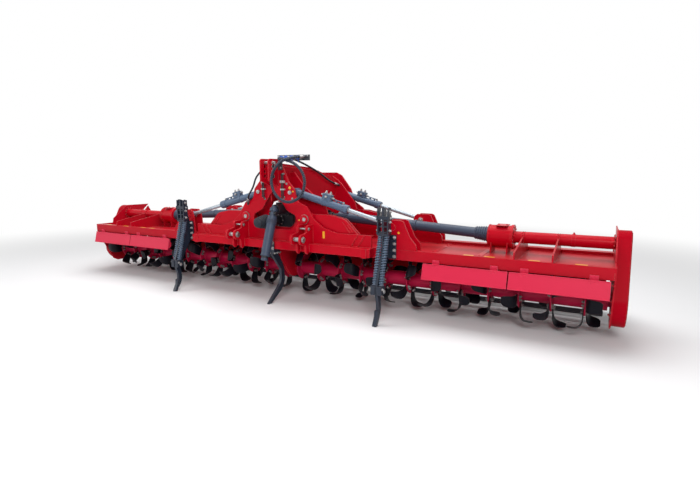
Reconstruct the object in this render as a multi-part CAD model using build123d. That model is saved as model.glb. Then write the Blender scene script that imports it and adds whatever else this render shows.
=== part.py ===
"""Folding mounted rotavator: a centre frame with a three-point headstock and two hinged rotor wings.

Millimetres.  +X to the right seen from the front, -Y to the tractor, +Z up.  The drawing is laid out
about the rotor axis (Y = 0, Z = 0) and moved at export to stand on the floor, centred on the origin.
The wing and its cylinders are drawn for +X and mirrored.
"""
import os
from math import acos, atan2, cos, degrees, hypot, pi, radians, sin, tan

from build123d import (Align, Axis, Box, Circle, Compound, Cylinder, Edge, FilletPolyline, Location, Plane, Pos,
                       Rot, Vector, Wire, export_step, extrude, make_face, make_hull, mirror, revolve, sweep)

# ---- rotor and hood
FLANGES = 12              # blade flanges on each rotor
FLANGE_PITCH = 250.0
FIRST_FLANGE = 95.0       # from the centre line
FLANGE_R = 135.0
TUBE_R = 70.0             # rotor tube
BLADE_RADIUS = 264.0      # sweep of the blade tips
BLADE_PLATE = 9.0
HOOD_GAP = 36.0           # blade sweep to hood
SHEET = 6.0               # hood plate
PARK_GAP = 46.0           # blade sweep to the floor when parked

# ---- plates, pins and fits
FRAME_PLATE = 20.0
PLATE = 12.0
HINGE_R = 30.0            # wing hinge pins
CYL_PIN = 20.0            # cylinder pins and rods
RUN = 0.05                # radial clearance of running fits
SIDE_GAP = 5.0            # between faces that move past each other

# ---- stations across the machine
WING_IN = 6.0
WING_BODY = WING_IN + PLATE
WING_END = FIRST_FLANGE + (FLANGES - 1) * FLANGE_PITCH + 175.0
CASE_IN = WING_END + 10.0
CASE_OUT = CASE_IN + 100.0
BEAM_HALF = 1110.0        # centre beam, half its length
PLATE_HALF = 1095.0       # front plate, half its length
HINGE_X = 370.0
BASE_X = 200.0            # cylinder base pins
ROD_X = 1280.0            # cylinder rod pins on the wing
LINK_X = 405.0            # lower link points
TINE_X = 1250.0
BELL_IN, BELL_OUT = 2026.0, 2232.0
RIBS = (2323.0, 2603.0)
GATE_LUGS = (120.0, 1040.0, 1990.0, WING_END - 100.0)
DEFLECTOR_IN = 1585.0

# ---- levels
FLOOR = -(BLADE_RADIUS + PARK_GAP)
HOOD_TOP = BLADE_RADIUS + HOOD_GAP + SHEET
BEAM_TOP = HOOD_TOP + 30.0
BEAM_FOOT = BEAM_TOP - 92.0
HINGE_Z = BEAM_TOP + 227.0
BASE_Z = HINGE_Z + 257.0
ROD_Z = BEAM_TOP + 199.0
DRIVE_Z = HOOD_TOP + 149.0
LINK_Z = BEAM_TOP + 52.0
MAST = 685.0              # lower link points to the second hole of the ears
EAR_HOLES = (LINK_Z + MAST + 35.0, LINK_Z + MAST, LINK_Z + MAST - 48.0, LINK_Z + MAST - 96.0)

# ---- stations along the line of travel, as (front, rear)
FRONT_BEAM = (-(BLADE_RADIUS + 86.0), -(BLADE_RADIUS + 26.0))
REAR_BEAM = (BLADE_RADIUS + 141.0, BLADE_RADIUS + 231.0)
CENTRE_BEAM = (FRONT_BEAM[0] - 100.0, FRONT_BEAM[0] - 12.0)
P1 = (CENTRE_BEAM[1] - FRAME_PLATE, CENTRE_BEAM[1])
P2 = (FRONT_BEAM[1] + 55.0, FRONT_BEAM[1] + 70.0)
R1 = (REAR_BEAM[0] - 23.0, REAR_BEAM[0] - 8.0)
R2 = (REAR_BEAM[1] + 7.0, REAR_BEAM[1] + 25.0)
CYLINDERS = {"front": FRONT_BEAM[1] + 10.0, "rear": (REAR_BEAM[0] + REAR_BEAM[1]) / 2}
EYE_HALF = 40.0
DRIVE_Y = 140.0
JOINT_Y = 130.0

# ---- fold cylinders
BARREL_R = 36.0
BARREL_LENGTH = 620.0
GLAND = 45.0

# ---- input shaft, tailgate, roller
INPUT = (62.0, CENTRE_BEAM[0] - 20.0, HINGE_Z + 87.0)
INPUT_LEAN = 19.0
INPUT_LENGTH = 510.0
YOKE_BORE = 22.2
THROUGH_X, THROUGH_Z = -62.0, HINGE_Z - 38.0
THROUGH_TOP = INPUT[2] + 75.0      # foot of the braces, over the gearbox nose
GATE_Y, GATE_Z = REAR_BEAM[0] - 20.0, HOOD_TOP - 116.0
GATE_ROD = 10.0
ROLLER_R = 225.0
ROLLER_TUBE = 50.0
ROLLER_Y = GATE_Y + ROLLER_R + 70.0
ROLLER_Z = FLOOR + ROLLER_R
ROLLER_BARS = 10
ROLLER_DISCS = 5
AXLE_R = 25.0


# ---------------------------------------------------------------- ways of making shapes

def block(x0, x1, y0, y1, z0, z1):
    return Pos((x0 + x1) / 2, (y0 + y1) / 2, (z0 + z1) / 2) * Box(x1 - x0, y1 - y0, z1 - z0)


def rod(start, end, radius):
    """Round bar from one point to another."""
    way = Vector(*end) - Vector(*start)
    plane = Plane(origin=start, z_dir=way)
    return plane * Cylinder(radius, way.length, align=(Align.CENTER, Align.CENTER, Align.MIN))


def bar_x(x0, x1, y, z, radius):
    return rod((x0, y, z), (x1, y, z), radius)


def bar_y(x, z, y0, y1, radius):
    return rod((x, y0, z), (x, y1, z), radius)


def turned(start, end, stations):
    """Body of revolution on the line from start to end, from (distance, radius) stations."""
    plane = Plane(origin=start, z_dir=Vector(*end) - Vector(*start))
    profile = [(0, stations[0][0]), *[(radius, distance) for distance, radius in stations],
               (0, stations[-1][0])]
    wire = Wire.make_polygon([(radius, 0, distance) for radius, distance in profile], close=True)
    return plane * revolve(make_face(wire), axis=Axis.Z)


def outline(points, place):
    """Closed wire; a third number on a point is the radius that rounds its corner."""
    corners = [(Vector(*place(*point[:2])), point[2] if len(point) > 2 else 0.0) for point in points]
    edges, ends = [], []
    for i, (corner, radius) in enumerate(corners):
        if not radius:
            ends.append((corner, corner))
            continue
        back = (corners[i - 1][0] - corner).normalized()
        ahead = (corners[(i + 1) % len(corners)][0] - corner).normalized()
        half = acos(back.dot(ahead)) / 2
        reach = radius / tan(half)
        start, stop = corner + back * reach, corner + ahead * reach
        middle = corner + (back + ahead).normalized() * (radius / sin(half) - radius)
        edges.append(Edge.make_three_point_arc(start, middle, stop))
        ends.append((start, stop))
    for i, (start, _) in enumerate(ends):
        last = ends[i - 1][1]
        if (start - last).length > 1e-6:
            edges.append(Edge.make_line(last, start))
    return Wire.combine(edges)[0]


def slab_x(points, x0, x1):
    """Plate across the machine from x0 to x1, its outline in (Y, Z)."""
    wire = outline(points, lambda y, z: (x0, y, z))
    return extrude(make_face(wire), amount=x1 - x0, dir=(1, 0, 0))


def slab_y(points, y0, y1):
    """Plate along the beams from y0 to y1, its outline in (X, Z)."""
    wire = outline(points, lambda x, z: (x, y0, z))
    return extrude(make_face(wire), amount=y1 - y0, dir=(0, 1, 0))


def symmetric(half):
    """Close an outline drawn for +X, from bottom to top, with its mirror image."""
    return list(half) + [(-point[0], *point[1:]) for point in reversed(half)]


def fuse(pieces):
    whole = pieces[0]
    for piece in pieces[1:]:
        whole = whole + piece
    return whole


def spread(side, near, far):
    """The two values as an ordered pair on one side of the centre line."""
    return sorted((side * near, side * far))


# ---------------------------------------------------------------- centre frame

def centre_beam():
    """Closed box beam with a raised clamp band near each end."""
    y0, y1 = CENTRE_BEAM
    foot = BEAM_TOP - 80.0
    pieces = [block(-BEAM_HALF, BEAM_HALF, y0, y1, foot, BEAM_TOP)]
    for side in (-1, 1):
        a, b = spread(side, BEAM_HALF - 85, BEAM_HALF - 35)
        pieces.append(block(a, b, y0 - 8, y1 + 4, foot - 8, BEAM_TOP))
    return fuse(pieces)


def bored(plate, planes):
    """Bore a frame plate for the hinge pins and the cylinder base pins."""
    y0, y1 = planes
    for side in (-1, 1):
        plate -= bar_y(side * HINGE_X, HINGE_Z, y0 - 30, y1 + 30, HINGE_R + RUN)
        plate -= bar_y(side * BASE_X, BASE_Z, y0 - 30, y1 + 30, CYL_PIN + RUN)
    return plate


def window(planes):
    """Round-cornered opening that the gearbox nose and the joint pass through."""
    low, high = THROUGH_Z - 70, INPUT[2] + 85
    shape = symmetric([(150, low, 85), (150, high, 85)])
    return slab_y(shape, planes[0] - 1, planes[1] + 1)


def front_plate():
    """Headstock plate on the beam: spread legs, a pointed arch between them and slanted end ribs."""
    half = [(PLATE_HALF, BEAM_TOP), (PLATE_HALF, BEAM_TOP + 112), (735, BEAM_TOP + 112, 150),
            (575, HINGE_Z - 70, 120), (468, HINGE_Z + 10, 60), (395, HINGE_Z + 125, 60),
            (275, HINGE_Z + 170, 90), (250, BASE_Z + 30), (180, BASE_Z + 108), (105, EAR_HOLES[0] - 18)]
    arch = [(200, THROUGH_Z - 75, 60), (272, HINGE_Z - 48, 60), (272, HINGE_Z + 28, 60), (155, HINGE_Z + 80, 90),
            (60, BASE_Z - 38), (12, BASE_Z + 10)]
    pieces = [slab_y(symmetric(half), *P1) - slab_y(symmetric(arch), P1[0] - 1, P1[1] + 1)]
    for x in (-1020, -950, 950, 1020):
        foot = x - 65 * (1 if x > 0 else -1)
        rib = [(foot - 6, BEAM_TOP), (foot + 6, BEAM_TOP), (x + 6, BEAM_TOP + 104), (x - 6, BEAM_TOP + 104)]
        pieces.append(slab_y(rib, P1[0] - 10, P1[0]))
    return bored(fuse(pieces), P1)


def core(radius):
    """Lower edge, out to the shoulder, of the plates that stay inside the swing of the wing."""
    rise, reach = 0.65 * radius, 0.75 * radius
    return [(HINGE_X + 47, HINGE_Z - radius + 5), (HINGE_X + reach, HINGE_Z - rise),
            (HINGE_X + 0.97 * radius, HINGE_Z), (HINGE_X + reach, HINGE_Z + rise)]


CORE_R = HINGE_Z - BEAM_TOP - 31.0      # inside the nearest face of the turning wing
BRACE_HALF = 7.5
BRACE_FRONT, BRACE_REAR = 49.5, 262.0   # distance of the braces from the centre line at their ends


def braces():
    """Stay plates that spread from the headstock to the rear plates, their backs arched."""
    front, rear = P1[1], R1[0]
    spine = [(front - 60, THROUGH_TOP), (front - 60, EAR_HOLES[0] + 5), (front + 420, EAR_HOLES[0] - 40, 400),
             (front + 700, EAR_HOLES[0] - 130, 300), (rear + 60, BASE_Z + 80), (rear + 60, THROUGH_TOP)]
    turn = degrees(atan2(BRACE_REAR - BRACE_FRONT, rear - front))
    plates = []
    for side in (-1, 1):
        plate = Pos(0, -front, 0) * slab_x(spine, -BRACE_HALF, BRACE_HALF)
        plate = Pos(side * BRACE_FRONT, front, 0) * Rot(0, 0, -side * turn) * plate
        plates.append(plate & block(-HINGE_X, HINGE_X, front, rear, 0, EAR_HOLES[0] + 20))
    return plates


def second_plate():
    """Plate behind the wings' front hinge, slotted round the braces and webbed to the front plate."""
    half = core(CORE_R) + [(265, BASE_Z + 60), (150, BASE_Z + 200)]
    plate = slab_y(symmetric(half), *P2) - window(P2)
    for stay in braces():
        plate -= stay
    pieces = [plate]
    for side in (-1, 1):
        a, b = spread(side, HINGE_X - 138, HINGE_X - 123)
        pieces.append(block(a, b, P1[1], P2[0], BEAM_TOP + 39, HINGE_Z - 43))
    return bored(fuse(pieces), P2)


def rear_plates():
    inner = core(CORE_R) + [(350, BASE_Z + 70), (300, BASE_Z + 115), (230, BASE_Z + 160)]
    outer = [(HINGE_X + 47, BEAM_TOP + 44), (600, BEAM_TOP + 64), (700, BEAM_TOP + 124), (545, HINGE_Z + 72),
             (450, HINGE_Z + 135), (395, BASE_Z + 20), (275, BASE_Z + 170), (210, BASE_Z + 200)]
    pieces = [bored(slab_y(symmetric(inner), *R1), R1), bored(slab_y(symmetric(outer), *R2), R2)]
    for side in (-1, 1):
        a, b = spread(side, HINGE_X - 138, HINGE_X - 123)
        pieces.append(block(a, b, R1[1], R2[0], BEAM_TOP + 48, HINGE_Z - 23))
        a, b = spread(side, BASE_X - 75, BASE_X - 60)
        pieces.append(block(a, b, R1[1], R2[0], BASE_Z - 180, BASE_Z + 20))
    return fuse(pieces)


def hinge_pins():
    """The four wing hinge pins, each with its head."""
    pins = []
    for side in (-1, 1):
        x = side * HINGE_X
        head = P1[0]
        pins.append(bar_y(x, HINGE_Z, head, P2[1] + 10, HINGE_R) + bar_y(x, HINGE_Z, head - 12, head, HINGE_R + 17))
        head = R2[1]
        pins.append(bar_y(x, HINGE_Z, R1[0] - 4, head, HINGE_R) + bar_y(x, HINGE_Z, head, head + 12, HINGE_R + 17))
    return pins


def base_pins():
    pins = []
    for x in (-BASE_X, BASE_X):
        pins.append(bar_y(x, BASE_Z, P1[0] - 10, P2[1] + 8, CYL_PIN))
        pins.append(bar_y(x, BASE_Z, R1[0] - 8, R2[1] + 10, CYL_PIN))
    return pins


EAR_IN = 42.0
EAR_OUT = EAR_IN + 15.0
EAR_HOLE_R = 16.0
EAR_Y = P1[0] - 76.0


def top_link_ears():
    top, foot = EAR_HOLES[0] + 38, EAR_HOLES[-1] - 45
    shape = [(P1[0], foot - 50), (P1[0], top), (EAR_Y - 66, top, 30), (EAR_Y - 66, foot)]
    ears = []
    for side in (-1, 1):
        a, b = spread(side, EAR_IN, EAR_OUT)
        ear = slab_x(shape, a, b)
        for z in EAR_HOLES:
            ear -= bar_x(a - 1, b + 1, EAR_Y, z, EAR_HOLE_R)
        ears.append(ear)
    return ears


LINK_Y = CENTRE_BEAM[0] - 105.0
LINK_R = 18.4
LOCK, LOCK_R = (CENTRE_BEAM[0] - 5.0, LINK_Z + 92.0), 9.0       # keeper pins over the link balls


def lower_link_clevises():
    """Two hooked plates on each side, bored for the link pin."""
    face, foot, top = CENTRE_BEAM[0], BEAM_TOP - 76, LINK_Z + 128
    shape = [(face, foot), (face, BEAM_TOP), (P1[0], BEAM_TOP), (P1[0], top), (LOCK[0] - 34, top, 34),
             (LOCK[0] - 30, LOCK[1] - 28), (LINK_Y + 20, LINK_Z + 50), (LINK_Y - 50, LINK_Z + 50, 44),
             (LINK_Y - 50, LINK_Z - 50, 48), (LINK_Y + 45, LINK_Z - 54), (face - 52, foot - 4),
             (face - 30, foot - 22)]
    plates = []
    for side in (-1, 1):
        for offset in (-50, 50):
            mid = side * LINK_X + offset
            plate = slab_x(shape, mid - 10, mid + 10)
            plate -= bar_x(mid - 11, mid + 11, LINK_Y, LINK_Z, LINK_R)
            plates.append(plate - bar_x(mid - 11, mid + 11, *LOCK, LOCK_R))
    return plates


def link_pins():
    """Lower link pins and the top link pin."""
    pins = [bar_x(-EAR_OUT - 22, EAR_OUT + 22, EAR_Y, EAR_HOLES[0], EAR_HOLE_R - RUN)]
    for mid in (-LINK_X, LINK_X):
        pins.append(bar_x(mid - 76, mid + 76, LINK_Y, LINK_Z, LINK_R - RUN))
        pins.append(bar_x(mid - 72, mid + 72, *LOCK, LOCK_R - RUN))
    return pins


BALL_R = 42.0
CASE_HALF = 104.0


def gearbox():
    """Gearbox with its input nose, through shaft and the two side cups over the wing joints."""
    x, y, z = INPUT
    front, rear = P2[1], P2[1] + 480
    shape = [(front, THROUGH_Z - 75), (rear, THROUGH_Z - 75), (rear, HINGE_Z + 150, 60),
             (front + 120, THROUGH_TOP - 20), (front, THROUGH_TOP - 20)]
    pieces = [slab_x(shape, -CASE_HALF, CASE_HALF)]
    pieces.append(bar_y(x, z, y + 24, front, 52) - bar_y(x, z, y, y + 50, 44))
    pieces.append(bar_y(THROUGH_X, THROUGH_Z, BOOT_Y, front, 36))
    for side in (-1, 1):
        mouth = HINGE_X - 33
        a, b = spread(side, CASE_HALF, mouth)
        cup = bar_x(a, b, JOINT_Y, HINGE_Z, BALL_R + 18)
        a, b = spread(side, mouth - 20, mouth + 1)
        pieces.append(cup - bar_x(a, b, JOINT_Y, HINGE_Z, BALL_R + 7))
    return fuse(pieces)


BOOT_Y = CENTRE_BEAM[0] + 20.0


def pto_guard():
    """Ribbed rubber boot over the end of the through shaft."""
    stations = [(0, 64), (14, 64)]
    for i in range(3):
        root, crest = 14 + 42 * i, 40 + 42 * i
        stations += [(root, 50 - 6 * i), (crest, 50 - 6 * i), (crest, 58 - 6 * i), (crest + 16, 58 - 6 * i)]
    stations += [(140, 30), (160, 30)]
    return turned((THROUGH_X, BOOT_Y, THROUGH_Z), (THROUGH_X, BOOT_Y - 160, THROUGH_Z), stations)


def centre_tine():
    """Shank in the gap between the rotors, curved forward to its point."""
    front, rear = CENTRE_BEAM
    under = BEAM_TOP - 80.0
    shape = [(front + 10, under), (front + 10, under - 70), (front + 140, 20), (front + 150, -110, 120),
             (front - 72, FLOOR + 5), (front - 72, FLOOR), (front - 30, FLOOR), (front + 215, -150, 160),
             (front + 190, 40), (rear, under - 45), (rear, under)]
    return slab_x(shape, -14, 14)


def centre_clamp():
    """U-shaped clamp that holds the centre tine to the beam."""
    front, rear = CENTRE_BEAM
    under = BEAM_TOP - 80.0
    pieces = [block(-45, 45, front - 12, front, under - 20, BEAM_TOP - 9)]
    for side in (-1, 1):
        a, b = spread(side, 14, 45)
        pieces.append(block(a, b, front - 12, rear, under - 40, under))
    return fuse(pieces)


RAIL_X, RAIL_Z = (66.0, 440.0), (1128.0, 1182.0)
COUPLERS = (150.0, 205.0, 270.0, 340.0)


def valve_blocks():
    """Coupler rail on the front plate, with the fittings that the hoses are screwed to."""
    face = P1[0] - PLATE
    rail = block(*RAIL_X, face, P1[0], *RAIL_Z)
    rail += block(RAIL_X[0], RAIL_X[0] + 50, face, P1[0], RAIL_Z[0] - 90, RAIL_Z[0])
    for x in COUPLERS:
        rail += bar_y(x, RAIL_Z[0] + 27, face - 46, face, 15)
    seats = {"loop_near": face, "loop_far": face, "right": P1[0]}
    for name, depth in seats.items():
        rail += fitting(name, depth)
    return [rail, fitting("left_top", P1[0]), fitting("left_foot", P1[0]), fitting("right_foot", R1[0])]


HOSES = {       # node: diameter and route
    "hose_loop": (22.0, [
        (107, -430, 1150), (190, -540, 1150), (395, -534, 1098), (494, -534, 957), (449, -538, 792),
        (294, -542, 719), (138, -548, 792), (94, -556, 957), (186, -566, 1094), (325, -572, 1150),
        (393, -430, 1163)]),
    "hose_left": (18.0, [
        (-107, -405, 1047), (-161, -450, 991), (-205, -455, 860), (-280, -452, 780), (-318, -406, 725)]),
    "hose_right": (20.0, [
        (140, -345, 1160), (142, -235, 1152), (190, -60, 1090), (240, 120, 1005), (285, 250, 915),
        (305, 345, 890)]),
}
ENDS = {        # fitting: its hose, the end it is on
    "loop_near": ("hose_loop", 0), "loop_far": ("hose_loop", -1), "left_top": ("hose_left", 0),
    "left_foot": ("hose_left", -1), "right": ("hose_right", 0), "right_foot": ("hose_right", -1),
}


def fitting(name, depth):
    """Straight hose fitting from the plate whose face is at depth to the end of its hose."""
    hose, end = ENDS[name]
    diameter, route = HOSES[hose]
    tip, inner = Vector(*route[end]), Vector(*route[1 if end == 0 else -2])
    way = (tip - inner).normalized()
    root = tip + way * ((depth - tip.Y) / way.Y)
    y0, y1 = sorted((depth, depth + (80 if tip.Y > depth else -80)))
    room = block(root.X - 60, root.X + 60, y0, y1, root.Z - 60, root.Z + 60)
    return rod(tuple(tip), tuple(root + way * 25), diameter / 2 + 4) & room


def hose(name):
    """Hose as a tube of straight runs and tangent arcs."""
    diameter, route = HOSES[name]
    points = [Vector(*point) for point in route]
    radii = []
    for before, corner, after in zip(points, points[1:], points[2:]):
        back, ahead = corner - before, after - corner
        half = radians(back.get_angle(ahead)) / 2
        radii.append(0.45 * min(back.length, ahead.length) / tan(half))
    path = FilletPolyline(*points, radius=radii)
    start = Plane(origin=points[0], z_dir=points[1] - points[0])
    tube = sweep(start * Circle(diameter / 2), path=path)
    section = pi * diameter ** 2 / 4
    print(name, "length", round(path.length, 1), "radii", [round(r) for r in radii],
          "volume ratio", round(tube.volume / (section * path.length), 4))
    return tube


def input_shaft():
    """Guarded drive shaft hung from the gearbox nose, its free yoke bored for the tractor's shaft."""
    x, y, z = INPUT
    lean = radians(INPUT_LEAN)

    def along(distance):
        return (x, y - distance * sin(lean), z - distance * cos(lean))
    end = INPUT_LENGTH
    shaft = turned(along(-36), along(end), [
        (0, 26), (20, 26), (20, 38), (52, 38), (52, 25), (100, 25), (100, 45), (end - 54, 45),
        (end - 54, 34), (end + 36, 34)])
    return shaft - rod(along(end - 60), along(end + 1), YOKE_BORE)


# ---------------------------------------------------------------- wing

def end_plate(low):
    """Outline shared by the wing's end plates; low is the depth below the rotor axis."""
    front, rear = FRONT_BEAM[0], REAR_BEAM[1]
    return [(front, BEAM_TOP), (front, BEAM_FOOT), (front + 60, 110), (-150, 30 - low), (-90, -low),
            (80, -low), (140, 30 - low), (BLADE_RADIUS + 66, 60), (REAR_BEAM[0] - 25, GATE_Z + 5),
            (rear, BEAM_FOOT + 20), (rear, BEAM_TOP)]


def wing_deck():
    """Beams, hood, end plates, tube ribs and tailgate lugs of a wing, welded into one."""
    front = block(WING_BODY, WING_END, *FRONT_BEAM, BEAM_FOOT, BEAM_TOP)
    rear = block(WING_BODY, WING_END, *REAR_BEAM, BEAM_FOOT + 20, BEAM_TOP)
    hood = block(WING_BODY, WING_END, FRONT_BEAM[1], REAR_BEAM[0], HOOD_TOP - SHEET, HOOD_TOP)
    lip = GATE_Y - 10
    hood += block(WING_BODY + 22, WING_END, lip - SHEET, lip, GATE_Z + 32, HOOD_TOP)
    inner = slab_x(end_plate(95), WING_IN, WING_BODY) + bar_x(WING_BODY, WING_BODY + 24, 0, 0, TUBE_R)
    inner -= bar_x(WING_IN - 1, WING_BODY + 30, 0, 0, HINGE_R + RUN)
    shape = end_plate(190)[:-1]
    shape += [(REAR_BEAM[1], BEAM_TOP), (REAR_BEAM[0] - 15, BEAM_TOP), (DRIVE_Y + 210, DRIVE_Z + 10),
              (REAR_BEAM[1] - 30, DRIVE_Z + 110), (DRIVE_Y - 30, DRIVE_Z + 110, 90),
              (-105, DRIVE_Z - 60), (-118, BEAM_TOP)]
    outer = slab_x(shape, WING_END, CASE_IN)
    outer -= bar_x(WING_END - 1, CASE_IN + 1, 0, 0, 60)
    pieces = [front, rear, hood, inner, outer]
    tube = bar_x(BELL_OUT, WING_END, DRIVE_Y, DRIVE_Z, PIPE_R)
    rib = [(FRONT_BEAM[0] + 2, BEAM_TOP), (FRONT_BEAM[0] + 2, BEAM_TOP + 56), (DRIVE_Y - 66, DRIVE_Z + 12),
           (DRIVE_Y + 66, DRIVE_Z + 12), (REAR_BEAM[0] - 5, BEAM_TOP + 18), (REAR_BEAM[0], BEAM_TOP),
           (REAR_BEAM[0], HOOD_TOP), (FRONT_BEAM[1], HOOD_TOP), (FRONT_BEAM[1], BEAM_TOP)]
    for x in RIBS:
        pieces.append(slab_x(rib, x - 6, x + 6) - tube)
    bell = bar_x(BELL_IN, BELL_OUT, DRIVE_Y, DRIVE_Z, BELL_R)
    for x in (BELL_IN + 34, BELL_OUT - 34):
        foot = block(x - 6, x + 6, DRIVE_Y - 85, DRIVE_Y + 85, HOOD_TOP, DRIVE_Z - 30)
        pieces.append(foot - bell)
    for x in GATE_LUGS:
        lug = slab_x([(lip, GATE_Z + 32), (lip, HOOD_TOP - SHEET), (GATE_Y + 18, HOOD_TOP - SHEET),
                      (GATE_Y + 20, GATE_Z - 20), (GATE_Y - 20, GATE_Z - 20),
                      (lip - SHEET, GATE_Z + 32)], x - 6, x + 6)
        pieces.append(lug - bar_x(x - 7, x + 7, GATE_Y, GATE_Z, GATE_ROD + RUN))
    return fuse(pieces)


PIPE_R = 51.0
BELL_R = 98.0


def hinge_arms():
    """Twin plates that rise from each wing beam to its hinge pin, tied by the hinge hub and a web."""
    shape = [(HINGE_X - 103, BEAM_TOP), (960, BEAM_TOP), (935, BEAM_TOP + 110), (800, HINGE_Z + 18, 120),
             (640, HINGE_Z + 50), (HINGE_X + 20, HINGE_Z + 52), (HINGE_X - 58, HINGE_Z + 30)]
    arms = []
    for y0, y1 in (FRONT_BEAM, REAR_BEAM):
        pieces = [slab_y(shape, y0, y0 + FRAME_PLATE), slab_y(shape, y1 - FRAME_PLATE, y1)]
        pieces.append(bar_y(HINGE_X, HINGE_Z, y0, y1, 66))
        pieces.append(block(700, 715, y0 + FRAME_PLATE, y1 - FRAME_PLATE, BEAM_TOP, HINGE_Z - 20))
        arm = fuse(pieces)
        arms.append(arm - bar_y(HINGE_X, HINGE_Z, y0 - 1, y1 + 1, HINGE_R + RUN))
    return arms


LUG_PLATE = 15.0
LUG_BOSS = 11.0


def cylinder_lugs():
    """Horn-shaped twin plates for each rod pin, a boss on the outer face of each."""
    front, rear = CYLINDERS["front"], CYLINDERS["rear"]
    gap = EYE_HALF + 10
    half = (REAR_BEAM[1] - REAR_BEAM[0]) / 2
    table = (  # inner face, way the plate thickens, foot of the plate
        (front - gap, -1, BEAM_TOP), (front + gap, 1, HOOD_TOP),
        (rear - half, -1, HOOD_TOP), (rear + half, 1, BEAM_FOOT + 30))
    lugs = []
    for face, way, foot in table:
        shape = [(ROD_X - 105, foot), (ROD_X + 235, foot), (ROD_X + 228, BEAM_TOP + 50),
                 (ROD_X + 170, BEAM_TOP + 115, 150), (ROD_X + 105, ROD_Z + 52), (ROD_X + 80, ROD_Z + 62),
                 (ROD_X - 40, ROD_Z + 62), (ROD_X - 68, ROD_Z + 40), (ROD_X - 88, ROD_Z - 30)]
        y0, y1 = sorted((face, face + way * LUG_PLATE))
        b0, b1 = sorted((face + way * LUG_PLATE, face + way * (LUG_PLATE + LUG_BOSS)))
        lugs.append(slab_y(shape, y0, y1) + bar_y(ROD_X, ROD_Z, b0, b1, 34))
    return lugs


CASE_LOW, CASE_HEAD = 185.0, 108.0


def belt_shape(inset):
    """Pill-shaped face round the rotor and drive tube axes, drawn in the plane X = 0."""
    low = Circle(CASE_LOW - inset)
    head = Pos(DRIVE_Y, DRIVE_Z) * Circle(CASE_HEAD - inset)
    return Plane.YZ * make_hull([*low.edges(), *head.edges()])


def side_case():
    """Outer gear case that takes the drive down to the rotor, with its raised cover."""
    cover = 8.0
    case = extrude(Pos(CASE_IN, 0, 0) * belt_shape(0), amount=CASE_OUT - cover - CASE_IN, dir=(1, 0, 0))
    case += extrude(Pos(CASE_OUT - cover, 0, 0) * belt_shape(22), amount=cover, dir=(1, 0, 0))
    return case - bar_x(CASE_IN - 1, CASE_IN + STUB, 0, 0, STUB_R + RUN)


def drive_tube():
    """Pipe from the side case to the open bell over the drive shaft's end."""
    wall = 6.0
    pieces = [bar_x(BELL_OUT - 10, WING_END, DRIVE_Y, DRIVE_Z, PIPE_R)]
    pieces.append(bar_x(BELL_IN, BELL_OUT, DRIVE_Y, DRIVE_Z, BELL_R))
    pieces.append(bar_x(BELL_OUT - 14, BELL_OUT, DRIVE_Y, DRIVE_Z, BELL_R + 7))
    body = fuse(pieces)
    return body - bar_x(BELL_IN - 1, BELL_OUT - 10, DRIVE_Y, DRIVE_Z, BELL_R - wall)


def drive_shaft():
    """Guarded shaft from the joint on the hinge line into the bell; it rides with the wing."""
    start = Vector(HINGE_X, JOINT_Y, HINGE_Z)
    way = Vector(BELL_OUT - 12, DRIVE_Y, DRIVE_Z) - start
    length = way.length
    start = start - way * (BALL_R / length)
    end = length + BALL_R
    return turned(tuple(start), tuple(start + way * (end / length)), [
        (0, 26), (20, 26), (20, 38), (64, 38), (64, 26), (BALL_R + 90, 26), (BALL_R + 90, 50),
        (end - 320, 50), (end - 190, 74), (end - 150, 74), (end - 150, 30), (end, 30)])


def deflectors():
    """Two front panels with folded inner ends, hung under the front beam on short brackets."""
    face, top, foot = FRONT_BEAM[0], BEAM_FOOT - 8, BEAM_FOOT - 134
    section = [(face - 30, top), (face - 24, top), (face - 56, foot), (face - 62, foot)]
    side = [(face - 26, top), (face - 4, top - 60), (face - 12, foot + 30), (face - 58, foot)]
    split = (DEFLECTOR_IN + WING_END - 20) / 2
    panels = []
    for x0, x1 in ((DEFLECTOR_IN, split - 5), (split + 5, WING_END - 20)):
        pieces = [slab_x(section, x0, x1), slab_x(side, x0, x0 + 6)]
        for x in (x0 + 110, x1 - 110):
            pieces.append(block(x - 30, x + 30, face - 8, face, top - 10, BEAM_FOOT + 30))
            pieces.append(block(x - 30, x + 30, face - 27, face, top - 10, top - 2))
        panels.append(fuse(pieces))
    return panels


PIVOT, PIVOT_R = (FRONT_BEAM[0] - 220.0, 0.0), 13.0
SPRING_X, SPRING_R = 31.0, 21.0
HEAD_Y = FRONT_BEAM[0] - 105.0
TINE_HALF = 54.0


def tine_mast():
    """Clamp plate on the wing beam with the fin that carries the spring head and the tine pivot."""
    face = FRONT_BEAM[0]
    py, pz = PIVOT
    pieces = [block(TINE_X - 55, TINE_X + 78, face - 15, face, BEAM_FOOT + 8, BEAM_TOP + 130)]
    fin = [(face - 15, BEAM_FOOT + 8), (face - 15, BEAM_TOP + 130), (HEAD_Y + 28, BEAM_TOP + 366),
           (HEAD_Y - 28, BEAM_TOP + 384), (HEAD_Y - 24, BEAM_TOP + 130), (HEAD_Y - 30, BEAM_TOP),
           (py - 28, pz + 40), (py - 28, pz - 28), (py + 26, pz - 28), (py + 80, pz + 60)]
    pieces.append(slab_x(fin, TINE_X - 9, TINE_X + 9))
    y0, y1 = HEAD_Y - 28, HEAD_Y + 28
    shelf = BEAM_TOP + 134
    pieces.append(block(TINE_X - TINE_HALF, TINE_X + TINE_HALF, y0, y1, shelf, shelf + 20))
    pieces.append(block(TINE_X - TINE_HALF, TINE_X + TINE_HALF, y0, y1, shelf + 140, shelf + 170))
    for side in (-1, 1):
        a, b = sorted((TINE_X + side * (TINE_HALF - 12), TINE_X + side * TINE_HALF))
        pieces.append(block(a, b, y0, y1, shelf + 20, shelf + 240))
    return fuse(pieces) - bar_x(TINE_X - 10, TINE_X + 10, py, pz, PIVOT_R + RUN)


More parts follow.
